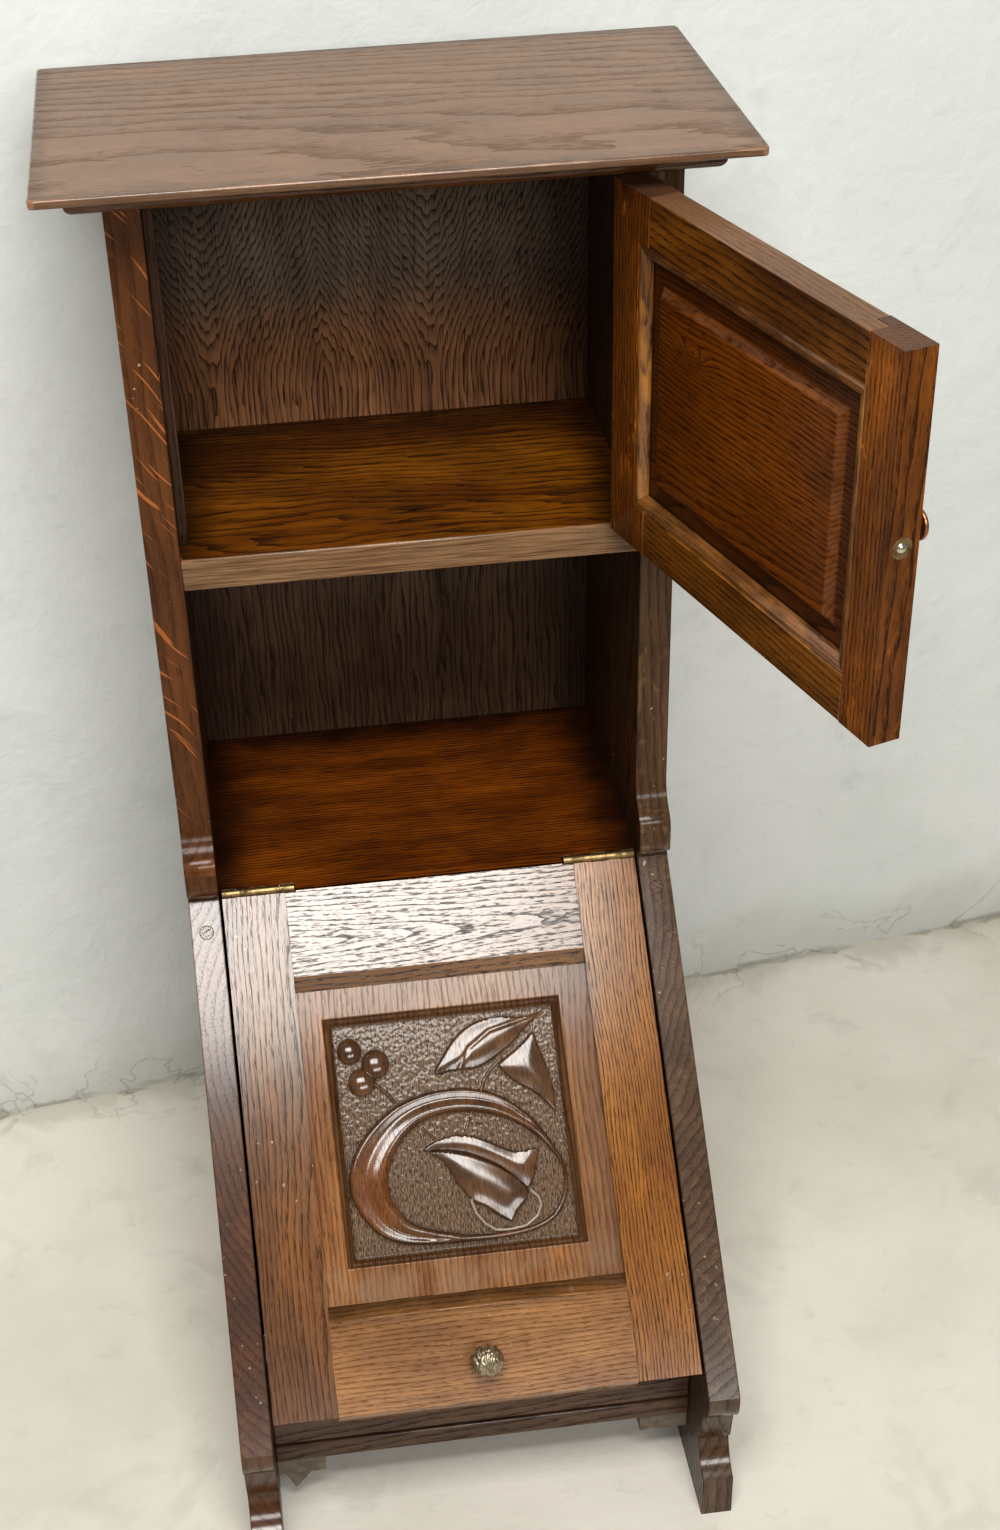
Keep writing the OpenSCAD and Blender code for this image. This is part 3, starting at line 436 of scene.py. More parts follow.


# the top board is painted darker as shade round its border, most on its front edge
dress("top_board", oak("oak_top", X, Z, (76, 50, 32), (112, 78, 50), (128, 90, 59), rings=420,
                       heart=(-0.03, 0.020), tilt=0.012, wobble=0.005, jagged=0.002, pores=0.4, band=0.06,
                       fineness=1300, dash=80, mottle=0.25, matt=0.5, rough=0.42, gloss=0.45, clear=0.2,
                       rim=(-0.211, 0.211, -0.0475, 0.21, 0.016, 0.45)), 1.1)
dress("sub_top", oak("oak_ceiling", X, Z, side_dark, side_mid, side_light, rough=0.5, gloss=0.1), 0.4)
dress("cornice_front", oak("oak_moulding", X, Y, side_dark, side_mid, side_light, rings=300), 0.3, 40)
moulding_side = oak("oak_moulding_side", Y, X, side_dark, side_mid, side_light, rings=300)
for node in ("cornice_left", "cornice_right"):
    dress(node, moulding_side, 0.3, 40)

side_board = {"rough": 0.34, "clear": 0.04, "coat": 0.16, "depth": 0.18 * MM, "extra": side_tone}
dress("left_side", oak("oak_side_left", Z, X, side_dark, side_mid, side_light, rings=170, heart=(0.10, 0.03),
                       tilt=0.06, fleck=0.6, slant=Vector((0.62, 0, -0.785)), gloss=1.0, matt=0.4, pores=0.35,
                       band=0.2, scuffs=0.5, **side_board), 1.6, 34)
dress("right_side", oak("oak_side_right", Z, X, side_dark, (70, 47, 28), (92, 67, 45), rings=180,
                        heart=(0.02, 0.02), fleck=0.25, gloss=0.9, matt=0.5, pores=0.4, origin=(0.05, 0.01, 0),
                        scuffs=0.6, **side_board), 1.6, 34)
dress("back_panel", oak("oak_back", Z, Y, (11, 7, 5), (86, 69, 56), (108, 89, 73), heart=(0, 0.006),
                        fold=(-0.0385, 0.0775), tilt=0.0, climb=(-0.01, 0.20, -0.075), wobble=0.010, jagged=0.010,
                        pores=0.8, band=0.6, fineness=700, dash=30, rough=0.5, gloss=0.1, origin=(0, 0.2, 0.68),
                        tone=back_tone))

shelf_board = {"pores": 0.85, "fineness": 650, "dash": 40, "mottle": 0.35, "gloss": 0.1}
# the shelf and the deck are painted darker as shade along the sides and the back board
dress("mid_shelf", oak("oak_shelf", X, Z, (30, 11, 1), (94, 46, 3), (140, 80, 9), rings=420,
                       heart=(-0.12, 0.012), tilt=0.03, band=0.55, rim=(*INSIDE, 0.04, 0.7), tone=shelf_tone,
                       **shelf_board), 1.2)
dress("deck", oak("oak_deck", X, Z, (28, 9, 1), (92, 40, 2), (138, 68, 5), rings=300,
                  heart=(-0.07, 0.010), band=0.65, origin=(0, 0, 0.39), rim=(*INSIDE, 0.04, 0.85),
                  **shelf_board), 0.8)
low_oak = oak("oak_low", X, Y, (28, 14, 8), (76, 50, 34), (96, 68, 48), rings=240)
batten_wood = softwood("batten_softwood", Y, Z)
for node, wood, arris in (("front_rail", low_oak, 1.2), ("bottom_board", low_oak, 1.2),
                          ("cleat_left", batten_wood, 0.8), ("cleat_right", batten_wood, 0.8),
                          ("glue_block", batten_wood, 0.6)):
    dress(node, wood, arris)
dress("slope_plugs", oak("oak_plug", OUT_OF_LID, X, side_dark, side_mid, (110, 76, 52), rings=400,
                         gloss=0.9), 0.4)
dress("door_stop", oak("oak_stop", Z, Y, (18, 8, 4), (44, 24, 12), (62, 36, 18), rings=300,
                       gloss=0.2), 0.8)

# -------- door
# its outline, along from the hinge pin and in height, and the width of its frame up to the bead
DOOR_BOX = (-297.75 * MM, -0.75 * MM, 655.4 * MM, 884.3 * MM)
FRAME_WIDE = 30 * MM


def door_inset(f):
    """How far a point of the door lies inside its outline."""
    return inset(f.along(ALONG_DOOR, DOOR_PIN), f.along(Z), DOOR_BOX)


def leaf_tone(top, strength):
    """The frame of the door: its top edge has its own colour, and it is darker along its outer edges."""
    def tone(f, base):
        border_wobble = f.noise(f.place, 26.0, 3.0, 0.6)
        base = f.blend((1 - (door_inset(f) + (border_wobble - 0.5) * 0.02).rise(0.0, 0.016)) * 0.35, base, srgb(24, 10, 3))
        edge = f.along(Z).rise(DOOR_BOX[3] - 0.9 * MM, DOOR_BOX[3] - 0.1 * MM)
        return f.blend(edge * strength, base, top)
    return tone


def panel_shade_and_rub(f, base):
    """Painted shade in the margin and the quirk round the raised panel, and its shoulder rubbed paler."""
    inside = door_inset(f) - FRAME_WIDE
    margin = 1 - inside.rise(19.5 * MM, 21.5 * MM)
    quirk = 1 - inside.rise(8 * MM, 12.5 * MM)
    shoulder = inside.rise(20.5 * MM, 21.5 * MM) * (1 - inside.rise(24.5 * MM, 26.2 * MM))
    rub = f.noise(f.place, 160.0, 3.0)
    # painted shade in the margin beside the bead and in the quirk
    base = f.blend(margin * 0.55, base, srgb(40, 18, 6))
    base = f.blend(quirk * 0.8, base, srgb(18, 8, 3))
    return f.blend(shoulder * rub.rise(0.2, 0.7) * 0.35, base, srgb(118, 76, 48))


d_dark = (28, 11, 2)
door_frame = {"rings": 300, "tilt": 0.02, "wobble": 0.006, "band": 0.4, "pores": 0.8, "fineness": 1250, "dash": 110,
              "mottle": 0.4, "origin": DOOR_PIN, "worn_glint": 0.5, "gloss": 0.2, "clear": 0.05}
stile_oak = oak("oak_door_stile", Z, THROUGH_DOOR, d_dark, (96, 48, 8), (148, 82, 18), heart=(0.9, 0.5),
                fleck=0.3, tone=leaf_tone(srgb(66, 50, 38), 0.6), **door_frame)
rail_oak = oak("oak_door_rail", ALONG_DOOR, THROUGH_DOOR, d_dark, (88, 46, 7), (126, 74, 17),
               heart=(-1.2, 0.4), tone=leaf_tone(srgb(128, 96, 70), 0.45), **door_frame)
for node in ("door_stile_hinge", "door_stile_lock"):
    dress(node, stile_oak, 1.4)
for node in ("door_rail_top", "door_rail_bottom"):
    dress(node, rail_oak, 1.0)
panel_oak = oak("oak_door_panel", ALONG_DOOR, THROUGH_DOOR, (34, 12, 1), (88, 41, 2), (108, 53, 3),
                rings=330, heart=(-0.70, 0.030), tilt=0.03, wobble=0.010, band=0.5, pores=0.85, fineness=1000,
                dash=70, gloss=0.12, clear=0.03, mottle=0.3, origin=DOOR_PIN,
                knot=(-0.095, -0.808, 0.014, 0.006, 0.012), tone=panel_shade_and_rub)
dress("door_panel", panel_oak, 1.2, 12)
bead_across = oak("oak_bead_across", ALONG_DOOR, THROUGH_DOOR, (26, 11, 4), (86, 48, 18), (118, 74, 34),
                  rings=420, gloss=0.3, origin=DOOR_PIN)
bead_up = oak("oak_bead_up", Z, THROUGH_DOOR, (22, 9, 3), (88, 50, 13), (140, 88, 30), rings=420,
              pores=0.9, gloss=0.3, origin=DOOR_PIN)
for node in ("door_bead_top", "door_bead_bottom"):
    dress(node, bead_across, 0.9, 40)
for node in ("door_bead_hinge", "door_bead_lock"):
    dress(node, bead_up, 0.9, 40)


# -------- lid
def stile_tone(f, base):
    """Half way down the left stile its colour is lighter and more golden in clouds, and its foot is darker."""
    down = f.along(-UP_SLOPE, LID_ORIGIN)
    cloud = f.noise(f.place, 16.0, 3.0, 0.6)
    golden = down.rise(0.09, 0.15) * (1 - down.rise(0.235, 0.29)) * cloud.rise(0.36, 0.6)
    base = f.blend(golden * 0.6, base, (1.35, 1.15, 0.8), "MULTIPLY")
    return f.blend(down.rise(0.27, 0.34) * 0.25, base, srgb(60, 30, 16))


l_dark = (40, 18, 7)
lid_polish = {"clear": 0.0, "coat": 0.17, "depth": 0.2 * MM, "origin": LID_ORIGIN}
lid_stile = {"fineness": 1200, "matt": 0.7, "gloss": 1.0, "worn_glint": 0.5, **lid_polish}
dress("lid_stile_left", oak("oak_lid_left", UP_SLOPE, OUT_OF_LID, l_dark, (92, 54, 20), (124, 76, 30),
                            rings=300, heart=(0.10, 0.02), tilt=0.03, band=0.35, pores=0.7, scuffs=0.5,
                            tone=stile_tone, **lid_stile), 1.2)
dress("lid_stile_right", oak("oak_lid_right", UP_SLOPE, OUT_OF_LID, l_dark, (130, 74, 10), (164, 100, 18),
                             rings=400, heart=(-0.5, 0.02), tilt=0.02, band=0.5, pores=0.8, scuffs=0.3,
                             **lid_stile), 1.2)
dress("lid_rail_top", oak("oak_lid_rail", X, OUT_OF_LID, (34, 16, 8), (112, 74, 42), (136, 94, 56),
                          rings=300, heart=(-0.04, 0.010), tilt=0.07, wobble=0.009, pores=1.0, band=0.4,
                          fineness=700, dash=120, rough=0.34, gloss=1.0, clear=0.5, origin=LID_ORIGIN,
                          worn_glint=0.5), 0.9, 25)
# the bottom rail's chamfer over the carved panel is painted darker as shade
dress("lid_rail_bottom", oak("oak_lid_low", X, OUT_OF_LID, l_dark, (130, 84, 42), (162, 112, 62), rings=300,
                             heart=(0.30, 0.014), wobble=0.009, band=0.25, pores=0.45, fineness=900, dash=120,
                             gloss=0.9, worn_glint=0.9, scuffs=0.4, rim=(-0.2, 0.2, -0.6, -0.2923, 0.018, 0.75),
                             **lid_polish), 0.9, 20)

# ---- carved panel: a height field in the lid's own frame, in millimetres; s runs down the slope
PANEL = {"half": 103.5, "top": 73.6, "foot": 292.3, "face": -7.0, "back": -17.0}
SUNK = {"x0": -86.5, "x1": 81.5, "s0": 94.6, "s1": 268.3, "ground": -11.0}
# from the outline of the sunk ground inwards: distance, height over the panel's face
EDGE_SECTION = ((-0.4, 0), (0.0, -0.5), (0.9, -1.5), (1.7, -1.0), (3.4, -1.5), (5.0, -3.4), (6.0, -4.0))
GROUND_IN, MATTING_DEEP = 5.0, 0.036  # how far in the matted ground begins, and how deep it is punched
# across the swirl from its outer line, 0, to its inner line, 1: share of its full height
RING_SECTION = ((0, 0.3), (0.04, 0.74), (0.12, 0.78), (0.22, 0.70), (0.34, 0.60), (0.42, 0.60), (0.60, 0.84),
                (0.76, 1.0), (0.88, 0.86), (1.0, 0.05))
RING_HIGH, BERRY_HIGH = 3.8, 3.9
# a leaf's edge over the ground, its crown over that, what the crown gains down the slope, and how wide its
# rounding is; then its vein's depth and width
LEAF = {"edge": 0.9, "crown": 1.7, "gain": 1.2, "round": 15.0, "vein": 0.45, "vein_wide": 1.8}
RING_OUT = [(-79, 214), (-76, 196), (-64, 178), (-44, 162), (-22, 154.4), (0, 152.6), (20, 156), (36, 163.6),
            (52, 178), (63, 194), (71, 210), (73, 222), (70.4, 236), (63, 247.6), (52, 254), (36, 257.6), (16, 259),
            (-8, 258.4), (-28, 257.4), (-46, 255), (-61, 248), (-71, 236), (-77, 224)]
RING_IN = [(-53, 212), (-50.4, 202), (-44, 190), (-34, 179), (-20, 171), (0, 168.6), (16, 170.4), (32, 175),
           (46, 183), (56, 192), (64, 202), (69.4, 212), (70.9, 222), (68.2, 234), (61, 245), (50, 251.4),
           (36, 254.6), (16, 255.4), (0, 254.6), (-10, 252.6), (-24, 249), (-38, 243), (-46, 234), (-51.6, 223)]
# outline and vein
LEAVES = [
    ([(-11.6, 140), (-4, 128), (5, 117), (16, 109), (28, 105.4), (40, 105), (52, 106.6), (62, 105.6), (70, 103.6),
      (64, 107.6), (56, 114), (48, 121.6), (39, 128.4), (28, 135), (20, 138.4), (12, 139.4), (0, 139.2)],
     [(6, 139), (14, 125), (30, 114), (48, 109.6), (68, 104.4)]),
    ([(60.4, 118.4), (63, 126.4), (66, 138), (69, 151), (70.8, 162), (70.4, 174), (72, 179), (66, 170), (60, 163),
      (54, 158), (46, 152.4), (39, 146), (34.4, 139.2), (40, 134), (46, 130), (54, 124)], None),
    ([(-26.4, 193), (-18, 188), (-9, 185.6), (0, 185.2), (11, 187.2), (22, 192.4), (32, 198), (40, 201),
      (48, 200.4), (54.4, 200.4), (53, 208), (51, 214), (48.4, 221), (44.4, 226.4), (39, 221), (32, 214),
      (24, 207.6), (14, 202), (4, 197.6), (-8, 194.6), (-18, 193.6)], None),
    ([(-22, 194.4), (-14, 200.4), (-9, 207), (-6, 215), (-1, 223), (5, 231), (14, 236.4), (22, 243), (30.4, 248),
      (34, 243), (38.4, 238.4), (42.6, 234), (43.6, 228), (40, 222.4), (34, 216.4), (24, 209), (14, 203.6),
      (4, 199.2), (-8, 196)], None),
]
# middle and half width across and down
BERRIES = [(-70.0, 118.4, 8.0, 8.8), (-52.6, 129.0, 9.2, 10.0), (-63.4, 141.0, 9.2, 9.4)]
# path, half width and height: the stem that loops under the bud, then short stalks
STALKS = [
    ([(4, 231), (6.4, 240), (12, 248), (19, 253), (28, 253.8), (40, 252.4), (49, 246.4), (52.4, 239), (51, 233),
      (46.4, 228.4)], 1.1, 1.7),
    ([(-54, 143.5), (-47, 150), (-42, 157)], 1, 1),
    ([(36, 134.5), (28, 141), (22, 149), (19, 157)], 0.9, 1),
    ([(-24.6, 177.5), (-16.5, 185.5)], 0.8, 0.7),
    ([(9, 174), (5, 184)], 0.8, 0.7),
]


def closed_curve(points, per=6):
    """A smooth closed line through given points."""
    pts = np.array(points, float)
    n = len(pts)
    out = []
    for i in range(n):
        a, b, c, d = (pts[(i + k) % n] for k in (-1, 0, 1, 2))
        for k in range(per):
            t = k / per
            out.append(0.5 * (2 * b + (c - a) * t + (2 * a - 5 * b + 4 * c - d) * t * t
                              + (3 * b - a - 3 * c + d) * t ** 3))
    return np.array(out)


def to_line(gx, gs, line, closed=False):
    """Distance from every grid point to a line."""
    best = np.full(gx.shape, 1e9)
    count = len(line) if closed else len(line) - 1
    for i in range(count):
        (ax, ay), (bx, by) = line[i], line[(i + 1) % len(line)]
        dx, dy = bx - ax, by - ay
        t = np.clip(((gx - ax) * dx + (gs - ay) * dy) / (dx * dx + dy * dy + 1e-12), 0, 1)
        best = np.minimum(best, (gx - ax - t * dx) ** 2 + (gs - ay - t * dy) ** 2)
    return np.sqrt(best)


def within(gx, gs, line):
    """True for grid points inside a closed line."""
    inside = np.zeros(gx.shape, bool)
    for i in range(len(line)):
        (ax, ay), (bx, by) = line[i], line[(i + 1) % len(line)]
        if ay == by:
            continue
        crosses = (ay > gs) != (by > gs)
        inside ^= crosses & (gx < (bx - ax) * (gs - ay) / (by - ay) + ax)
    return inside


def bulge(share):
    """Height of a half circle, 1 in the middle and 0 at its ends, from -1 to 1 across."""
    return np.sqrt(np.clip(1 - share ** 2, 0, 1))


def spread(field):
    """Every grid point takes the average of itself and its neighbours."""
    padded = np.pad(field, 1, mode="edge")
    return (padded[:-2, 1:-1] + padded[2:, 1:-1] + padded[1:-1, :-2] + padded[1:-1, 2:] + 2 * field) / 6


def soften(field, inside, rounds=36):
    """Smooths heights inside their own outline, so that no crease is left where the rises from its edges meet."""
    weight = inside.astype(float)
    field = field * weight
    for _ in range(rounds):
        field, weight = spread(field), spread(weight)
    return field / np.maximum(weight, 1e-6)


def matted(shape):
    """The punched texture of the ground: fixed random grains, a little longer down the slope."""
    grains = np.random.default_rng(7).normal(size=shape)
    for axis, times in ((0, 1), (1, 2)):
        for _ in range(times):
            grains = (np.roll(grains, 1, axis) + 2 * grains + np.roll(grains, -1, axis)) / 4
    return np.clip(grains / grains.std(), -1.6, 2.0) * MATTING_DEEP


def swirl(gx, gs):
    """Where the ring lies, and its hollowed section, which is a plain low round where the ring is slim."""
    outer, inner = closed_curve(RING_OUT), closed_curve(RING_IN)
    d_out, d_in = to_line(gx, gs, outer, True), to_line(gx, gs, inner, True)
    width = d_out + d_in
    across = d_out / (width + 1e-9)
    steps = np.linspace(-0.2, 1.2, 281)
    window = np.hanning(19)
    section = np.pad(np.interp(steps, *zip(*RING_SECTION)), 8, mode="edge")
    section = np.convolve(section, window[1:-1] / window.sum(), "valid")
    broad = np.clip((width - 4) / 6, 0, 1)
    shape = np.interp(across, steps, section) * broad + bulge(2 * across - 1) * (1 - broad)
    return within(gx, gs, outer) & ~within(gx, gs, inner), shape * np.clip(width / 6, 0.55, 1)


def carved_heights(gx, gs):
    """Height of the carved face at each grid point, and the masks by the names that carved_tone reads."""
    edge = np.minimum.reduce([gx - SUNK["x0"], SUNK["x1"] - gx, gs - SUNK["s0"], SUNK["s1"] - gs])
    ground = edge > GROUND_IN
    heights = PANEL["face"] + np.interp(edge, *zip(*EDGE_SECTION)) + np.where(ground, matted(gx.shape), 0)
    ring, shape = swirl(gx, gs)
    raised = np.where(ring, RING_HIGH * shape, 0.0)
    for outline, vein in LEAVES:
        line = closed_curve(outline, 4)
        inside = within(gx, gs, line)
        depth = to_line(gx, gs, line, True)
        fall = np.clip((gs - line[:, 1].min()) / np.ptp(line[:, 1]), 0, 1)
        dome = bulge(1 - np.clip(depth / LEAF["round"], 0, 1))
        high = soften(LEAF["edge"] + (LEAF["crown"] + LEAF["gain"] * fall) * dome, inside)
        if vein:
            high -= LEAF["vein"] * np.exp(-(to_line(gx, gs, vein) / LEAF["vein_wide"]) ** 2)
        raised = np.where(inside, np.maximum(raised, high * np.clip(depth / 0.35, 0, 1)), raised)
    for bx, bs, rx, ry in BERRIES:
        raised = np.maximum(raised, BERRY_HIGH * bulge(np.hypot((gx - bx) / rx, (gs - bs) / ry)))
    for path, half, high in STALKS:
        raised = np.maximum(raised, high * bulge(to_line(gx, gs, path) / half))

    worked = raised > 0.15
    heights = np.minimum(np.where(worked, SUNK["ground"] + raised, heights), PANEL["face"])
    # hollows, darkened for dark polish and painted shade: what lies below its surroundings, close by and wider, and
    # the moulded edge
    around, hollow = heights, np.zeros_like(gx)
    for step in range(1, 31):
        around = spread(around)
        if step in (5, 30):
            hollow = np.maximum(hollow, np.clip((around - heights - 0.10) / (0.5 + 0.03 * step), 0, 1))
    hollow = np.maximum(hollow, np.where((edge > -0.3) & (edge < GROUND_IN + 0.2), 0.74, 0.0))
    loop, half = STALKS[0][:2]
    rubbed = to_line(gx, gs, loop) < half + 0.2
    return heights, {"worked": worked, "ground": ground & ~worked, "hollow": hollow, "rubbed": rubbed}


def stations(low, high, sunk_low, sunk_high, count):
    """Grid lines: few across the plain margins and many across the sunk ground."""
    return np.concatenate([np.linspace(low, sunk_low - 1, 6), np.linspace(sunk_low - 0.5, sunk_high + 0.5, count),
                           np.linspace(sunk_high + 1, high, 6)])


def carved_panel():
    """A closed block whose face is the carved height field."""
    xs = stations(-PANEL["half"], PANEL["half"], SUNK["x0"], SUNK["x1"], 268)
    ss = stations(PANEL["top"], PANEL["foot"], SUNK["s0"], SUNK["s1"], 276)
    gx, gs = np.meshgrid(xs, ss, indexing="ij")
    gz, masks = carved_heights(gx, gs)
    nx, ns = gx.shape
    local = np.stack([gx, -gs, gz], -1).reshape(-1, 3) * MM
    grid = np.arange(nx * ns).reshape(nx, ns)
    rim = np.concatenate([grid[:, 0], grid[-1, 1:], grid[-2::-1, -1], grid[0, -2:0:-1]]).tolist()
    low = local[rim]
    low[:, 2] = PANEL["back"] * MM
    points = np.vstack([local, low]) @ np.array(LID_TURN).T + np.array(LID_ORIGIN)
    base, count = len(local), len(rim)
    faces = [(a, a + 1, a + ns + 1, a + ns) for a in range((nx - 1) * ns) if (a + 1) % ns]
    for k in range(count):
        n = (k + 1) % count
        faces.append((rim[k], rim[n], base + n, base + k))
    faces.append(tuple(range(base, base + count)))
    mesh = bpy.data.meshes.new("lid_panel_carved")
    mesh.from_pydata([tuple(p) for p in points], [], faces)
    mesh.validate()
    bm = bmesh.new()
    bm.from_mesh(mesh)
    bmesh.ops.recalc_face_normals(bm, faces=bm.faces)
    bm.to_mesh(mesh)
    bm.free()
    for name, values in masks.items():
        full = np.zeros(len(mesh.vertices), np.float32)
        full[:base] = values.reshape(-1)
        mesh.attributes.new(name, "FLOAT", "POINT").data.foreach_set("value", full)
    mesh.shade_smooth()
    mesh.set_sharp_from_angle(angle=math.radians(60))
    return mesh


def carved_tone(f, base, polish, sheen, relief):
    """The ground is dull with small bright pecks; the raised work is dark and glossy, darkest in its hollows, where
    dark polish lies and shade is painted.
    """
    ground, worked, hollow, rubbed = (f.mark(name) for name in ("ground", "worked", "hollow", "rubbed"))
    u, v = f.along(UP_SLOPE, LID_ORIGIN), f.along(X)
    cloud = f.noise(f.vector(u * 40, v * 40, 0.0))
    # the plain margins above, below and to the right of the carving
    base = f.blend((u + 0.094).rise(-0.012, 0.008) * 0.35, base, srgb(104, 86, 71))
    base = f.blend((1 - (u + 0.270).rise(-0.016, 0.014)) * cloud.rise(0.3, 0.6) * 0.28, base, srgb(158, 132, 108))
    base = f.blend(v.rise(0.070, 0.094) * 0.4, base, srgb(82, 66, 56))
    # the ground
    pecks = f.noise(f.vector(u * 260, v * 1200, 0.0), rough=0.6)
    hatch = f.noise(f.vector(u * 120, v * 1300, 0.0), detail=1.0).rise(0.5, 0.62)
    base = f.blend(ground * 0.9, base, f.blend(pecks.rise(0.40, 0.60), srgb(52, 38, 27), srgb(116, 95, 76)))
    # the raised work, amber on the left of the swirl, and the stem's loop pale: partly rubbed, partly a painted
    # highlight
    du, dv = v + 0.060, u + 0.216
    amber = 1 - (du * du * 2.5 + dv * dv).root().rise(0.014, 0.044)
    raised = f.blend(cloud.rise(0.4, 0.6), srgb(58, 37, 22), srgb(90, 59, 32))
    raised = f.blend(amber * 0.5, raised, srgb(128, 68, 14))
    base = f.blend(worked * 0.88, base, f.blend(hatch * 0.65, raised, srgb(32, 18, 10)))
    # the stem's loop: partly rubbed pale, partly a painted highlight
    base = f.blend(rubbed * worked * 0.6, base, srgb(176, 160, 140))
    # dark polish and painted shade in the hollows and round the motif
    base = f.blend(hollow * 0.92, base, srgb(12, 6, 3))
    polish = (polish + ground * 0.12 - worked * 0.16).held()
    sheen = sheen * 0.5 * (1 - worked) + worked * (1 - hatch * 0.4) - hollow * 0.6
    return base, polish, sheen, relief * (1 - worked * 0.85) + pecks * ground * 0.25


carved_oak = oak("oak_carved", UP_SLOPE, OUT_OF_LID, l_dark, (128, 79, 38), (160, 107, 60), rings=240,
                 heart=(0.5, 0.02), tilt=0.02, band=0.35, pores=0.5, rough=0.34, gloss=1.0, matt=0.6, clear=0.04,
                 coat=0.13, origin=LID_ORIGIN, extra=carved_tone)
piece("lid_panel_made", carved_panel(), "lid", SLOT_OF["lid_panel"], carved_oak, "lid_panel")

# -------- metalwork
old_brass = metal("brass_old", srgb(150, 126, 86), srgb(74, 56, 36), 0.38, 0.9)
dark_brass = metal("brass_dark", srgb(178, 165, 138), srgb(70, 60, 46), 0.26, 0.75, 300.0)
copper = metal("knob_copper", srgb(176, 122, 84), srgb(90, 54, 34), 0.28, 0.6)
steel = metal("steel_bright", srgb(205, 198, 180), srgb(120, 112, 96), 0.2, 0.3)
iron = black_iron("liner_black", srgb(38, 37, 36))
for node in ("strike_plate", "catch_barrel", "door_hinge_fixed", "door_hinge_moving", "door_hinge_pins",
             "lid_hinge_fixed", "lid_hinge_moving", "lid_hinge_pins", "door_knob_screw", "lid_knob_screw"):
    dress(node, old_brass)

SCREW_SIZES = {"Shank Radius": 1.3 * MM, "Head Radius": 2.5 * MM, "Head Depth": 1.2 * MM, "Slot Width": 0.6 * MM,
               "Slot Depth": 0.5 * MM}


def screw_tree():
    """Sets a slotted countersunk screw on every point, each slot at its own angle."""
    group = bpy.data.node_groups.new("slotted_screws", "GeometryNodeTree")
    kinds = {"Points": "Geometry", **dict.fromkeys((*SCREW_SIZES, "Length"), "Float"), "Turn": "Vector",
             "Finish": "Material"}
    for label, kind in kinds.items():
        group.interface.new_socket(label, in_out="INPUT", socket_type="NodeSocket" + kind)
    group.interface.new_socket("Screws", in_out="OUTPUT", socket_type="NodeSocketGeometry")
    g = Tree(group)
    given = {label: g.node("NodeGroupInput", out=label) for label in kinds}
    head_r, shank_r, deep, length = (given[name] for name in ("Head Radius", "Shank Radius", "Head Depth", "Length"))

    def moved(shape, up):
        return g.node("GeometryNodeTransform", values={"Geometry": shape, "Translation": g.vector(0, 0, up)})

    head = g.node("GeometryNodeMeshCone", values={"Vertices": 40, "Radius Top": head_r, "Radius Bottom": shank_r,
                                                  "Depth": deep})
    slot = g.vector(head_r * 3, given["Slot Width"], given["Slot Depth"] * 2)
    slot = g.node("GeometryNodeMeshCube", values={"Size": slot})
    head = g.node("GeometryNodeMeshBoolean", {"operation": "DIFFERENCE"},
                  {"Mesh 1": moved(head, deep * -1), "Mesh 2": slot}, "Mesh")
    shank = g.node("GeometryNodeMeshCylinder", values={"Vertices": 24, "Radius": shank_r, "Depth": length - deep})
    screw = g.node("GeometryNodeJoinGeometry", values={0: [head, moved(shank, (length + deep) * -0.5)]})
    spin = g.node("FunctionNodeRandomValue", {"data_type": "FLOAT"}, {"Min": 0.0, "Max": math.pi, "Seed": 5}, 1)
    spin = g.node("FunctionNodeEulerToRotation", values={0: g.vector(0, 0, spin)})
    turn = g.node("FunctionNodeEulerToRotation", values={0: given["Turn"]})
    turn = g.node("FunctionNodeRotateRotation", {"rotation_space": "LOCAL"}, {0: turn, 1: spin})
    screws_out = g.node("GeometryNodeInstanceOnPoints",
                        values={"Points": given["Points"], "Instance": screw, "Rotation": turn})
    solid = g.node("GeometryNodeRealizeInstances", values={"Geometry": screws_out})
    solid = g.node("GeometryNodeSetMaterial", values={"Geometry": solid, "Material": given["Finish"]})
    g.fill(group.nodes.new("NodeGroupOutput").inputs[0], solid)
    return group


SCREW = screw_tree()


def solids(node):
    """The points of each separate solid of a CAD node."""
    mesh, bm = node_copy(node)
    seen, found = set(), []
    for start in bm.verts:
        if start in seen:
            continue
        seen.add(start)
        queue, group = [start], []
        while queue:
            vert = queue.pop()
            group.append(vert.co.copy())
            for edge in vert.link_edges:
                other = edge.other_vert(vert)
                if other not in seen:
                    seen.add(other)
                    queue.append(other)
        found.append(group)
    bm.free()
    bpy.data.meshes.remove(mesh)
    return found


def screws(node, out, length):
    """Slotted screws where the CAD node has them; out is the way their heads face, length is in millimetres."""
    across = out.orthogonal().normalized()
    heads = []
    for solid in solids(node):
        place = out * max(point.dot(out) for point in solid)
        for axis in (across, out.cross(across)):
            reach = [point.dot(axis) for point in solid]
            place += axis * (max(reach) + min(reach)) * 0.5
        heads.append(tuple(place))
    points = bpy.data.meshes.new(node + "_heads")
    points.from_pydata(heads, [], [])
    given = {**SCREW_SIZES, "Length": length * MM, "Turn": tuple(out.to_track_quat("Z", "Y").to_euler()),
             "Finish": old_brass}
    inputs = {item.identifier: given[item.name] for item in SCREW.interface.items_tree if item.name in given}
    made = shaped(points, "NODES", {"node_group": SCREW}, inputs)
    made.set_sharp_from_angle(angle=math.radians(30))
    piece(node + "_made", made, BODY_OF[node], SLOT_OF[node], old_brass, node)


screws("strike_screws", X, 13)
screws("door_screws_fixed", -X, 14)
screws("door_screws_moving", ALONG_DOOR, 14)
screws("lid_screws_fixed", -UP_SLOPE, 8.3)
screws("lid_screws_moving", UP_SLOPE, 14.3)

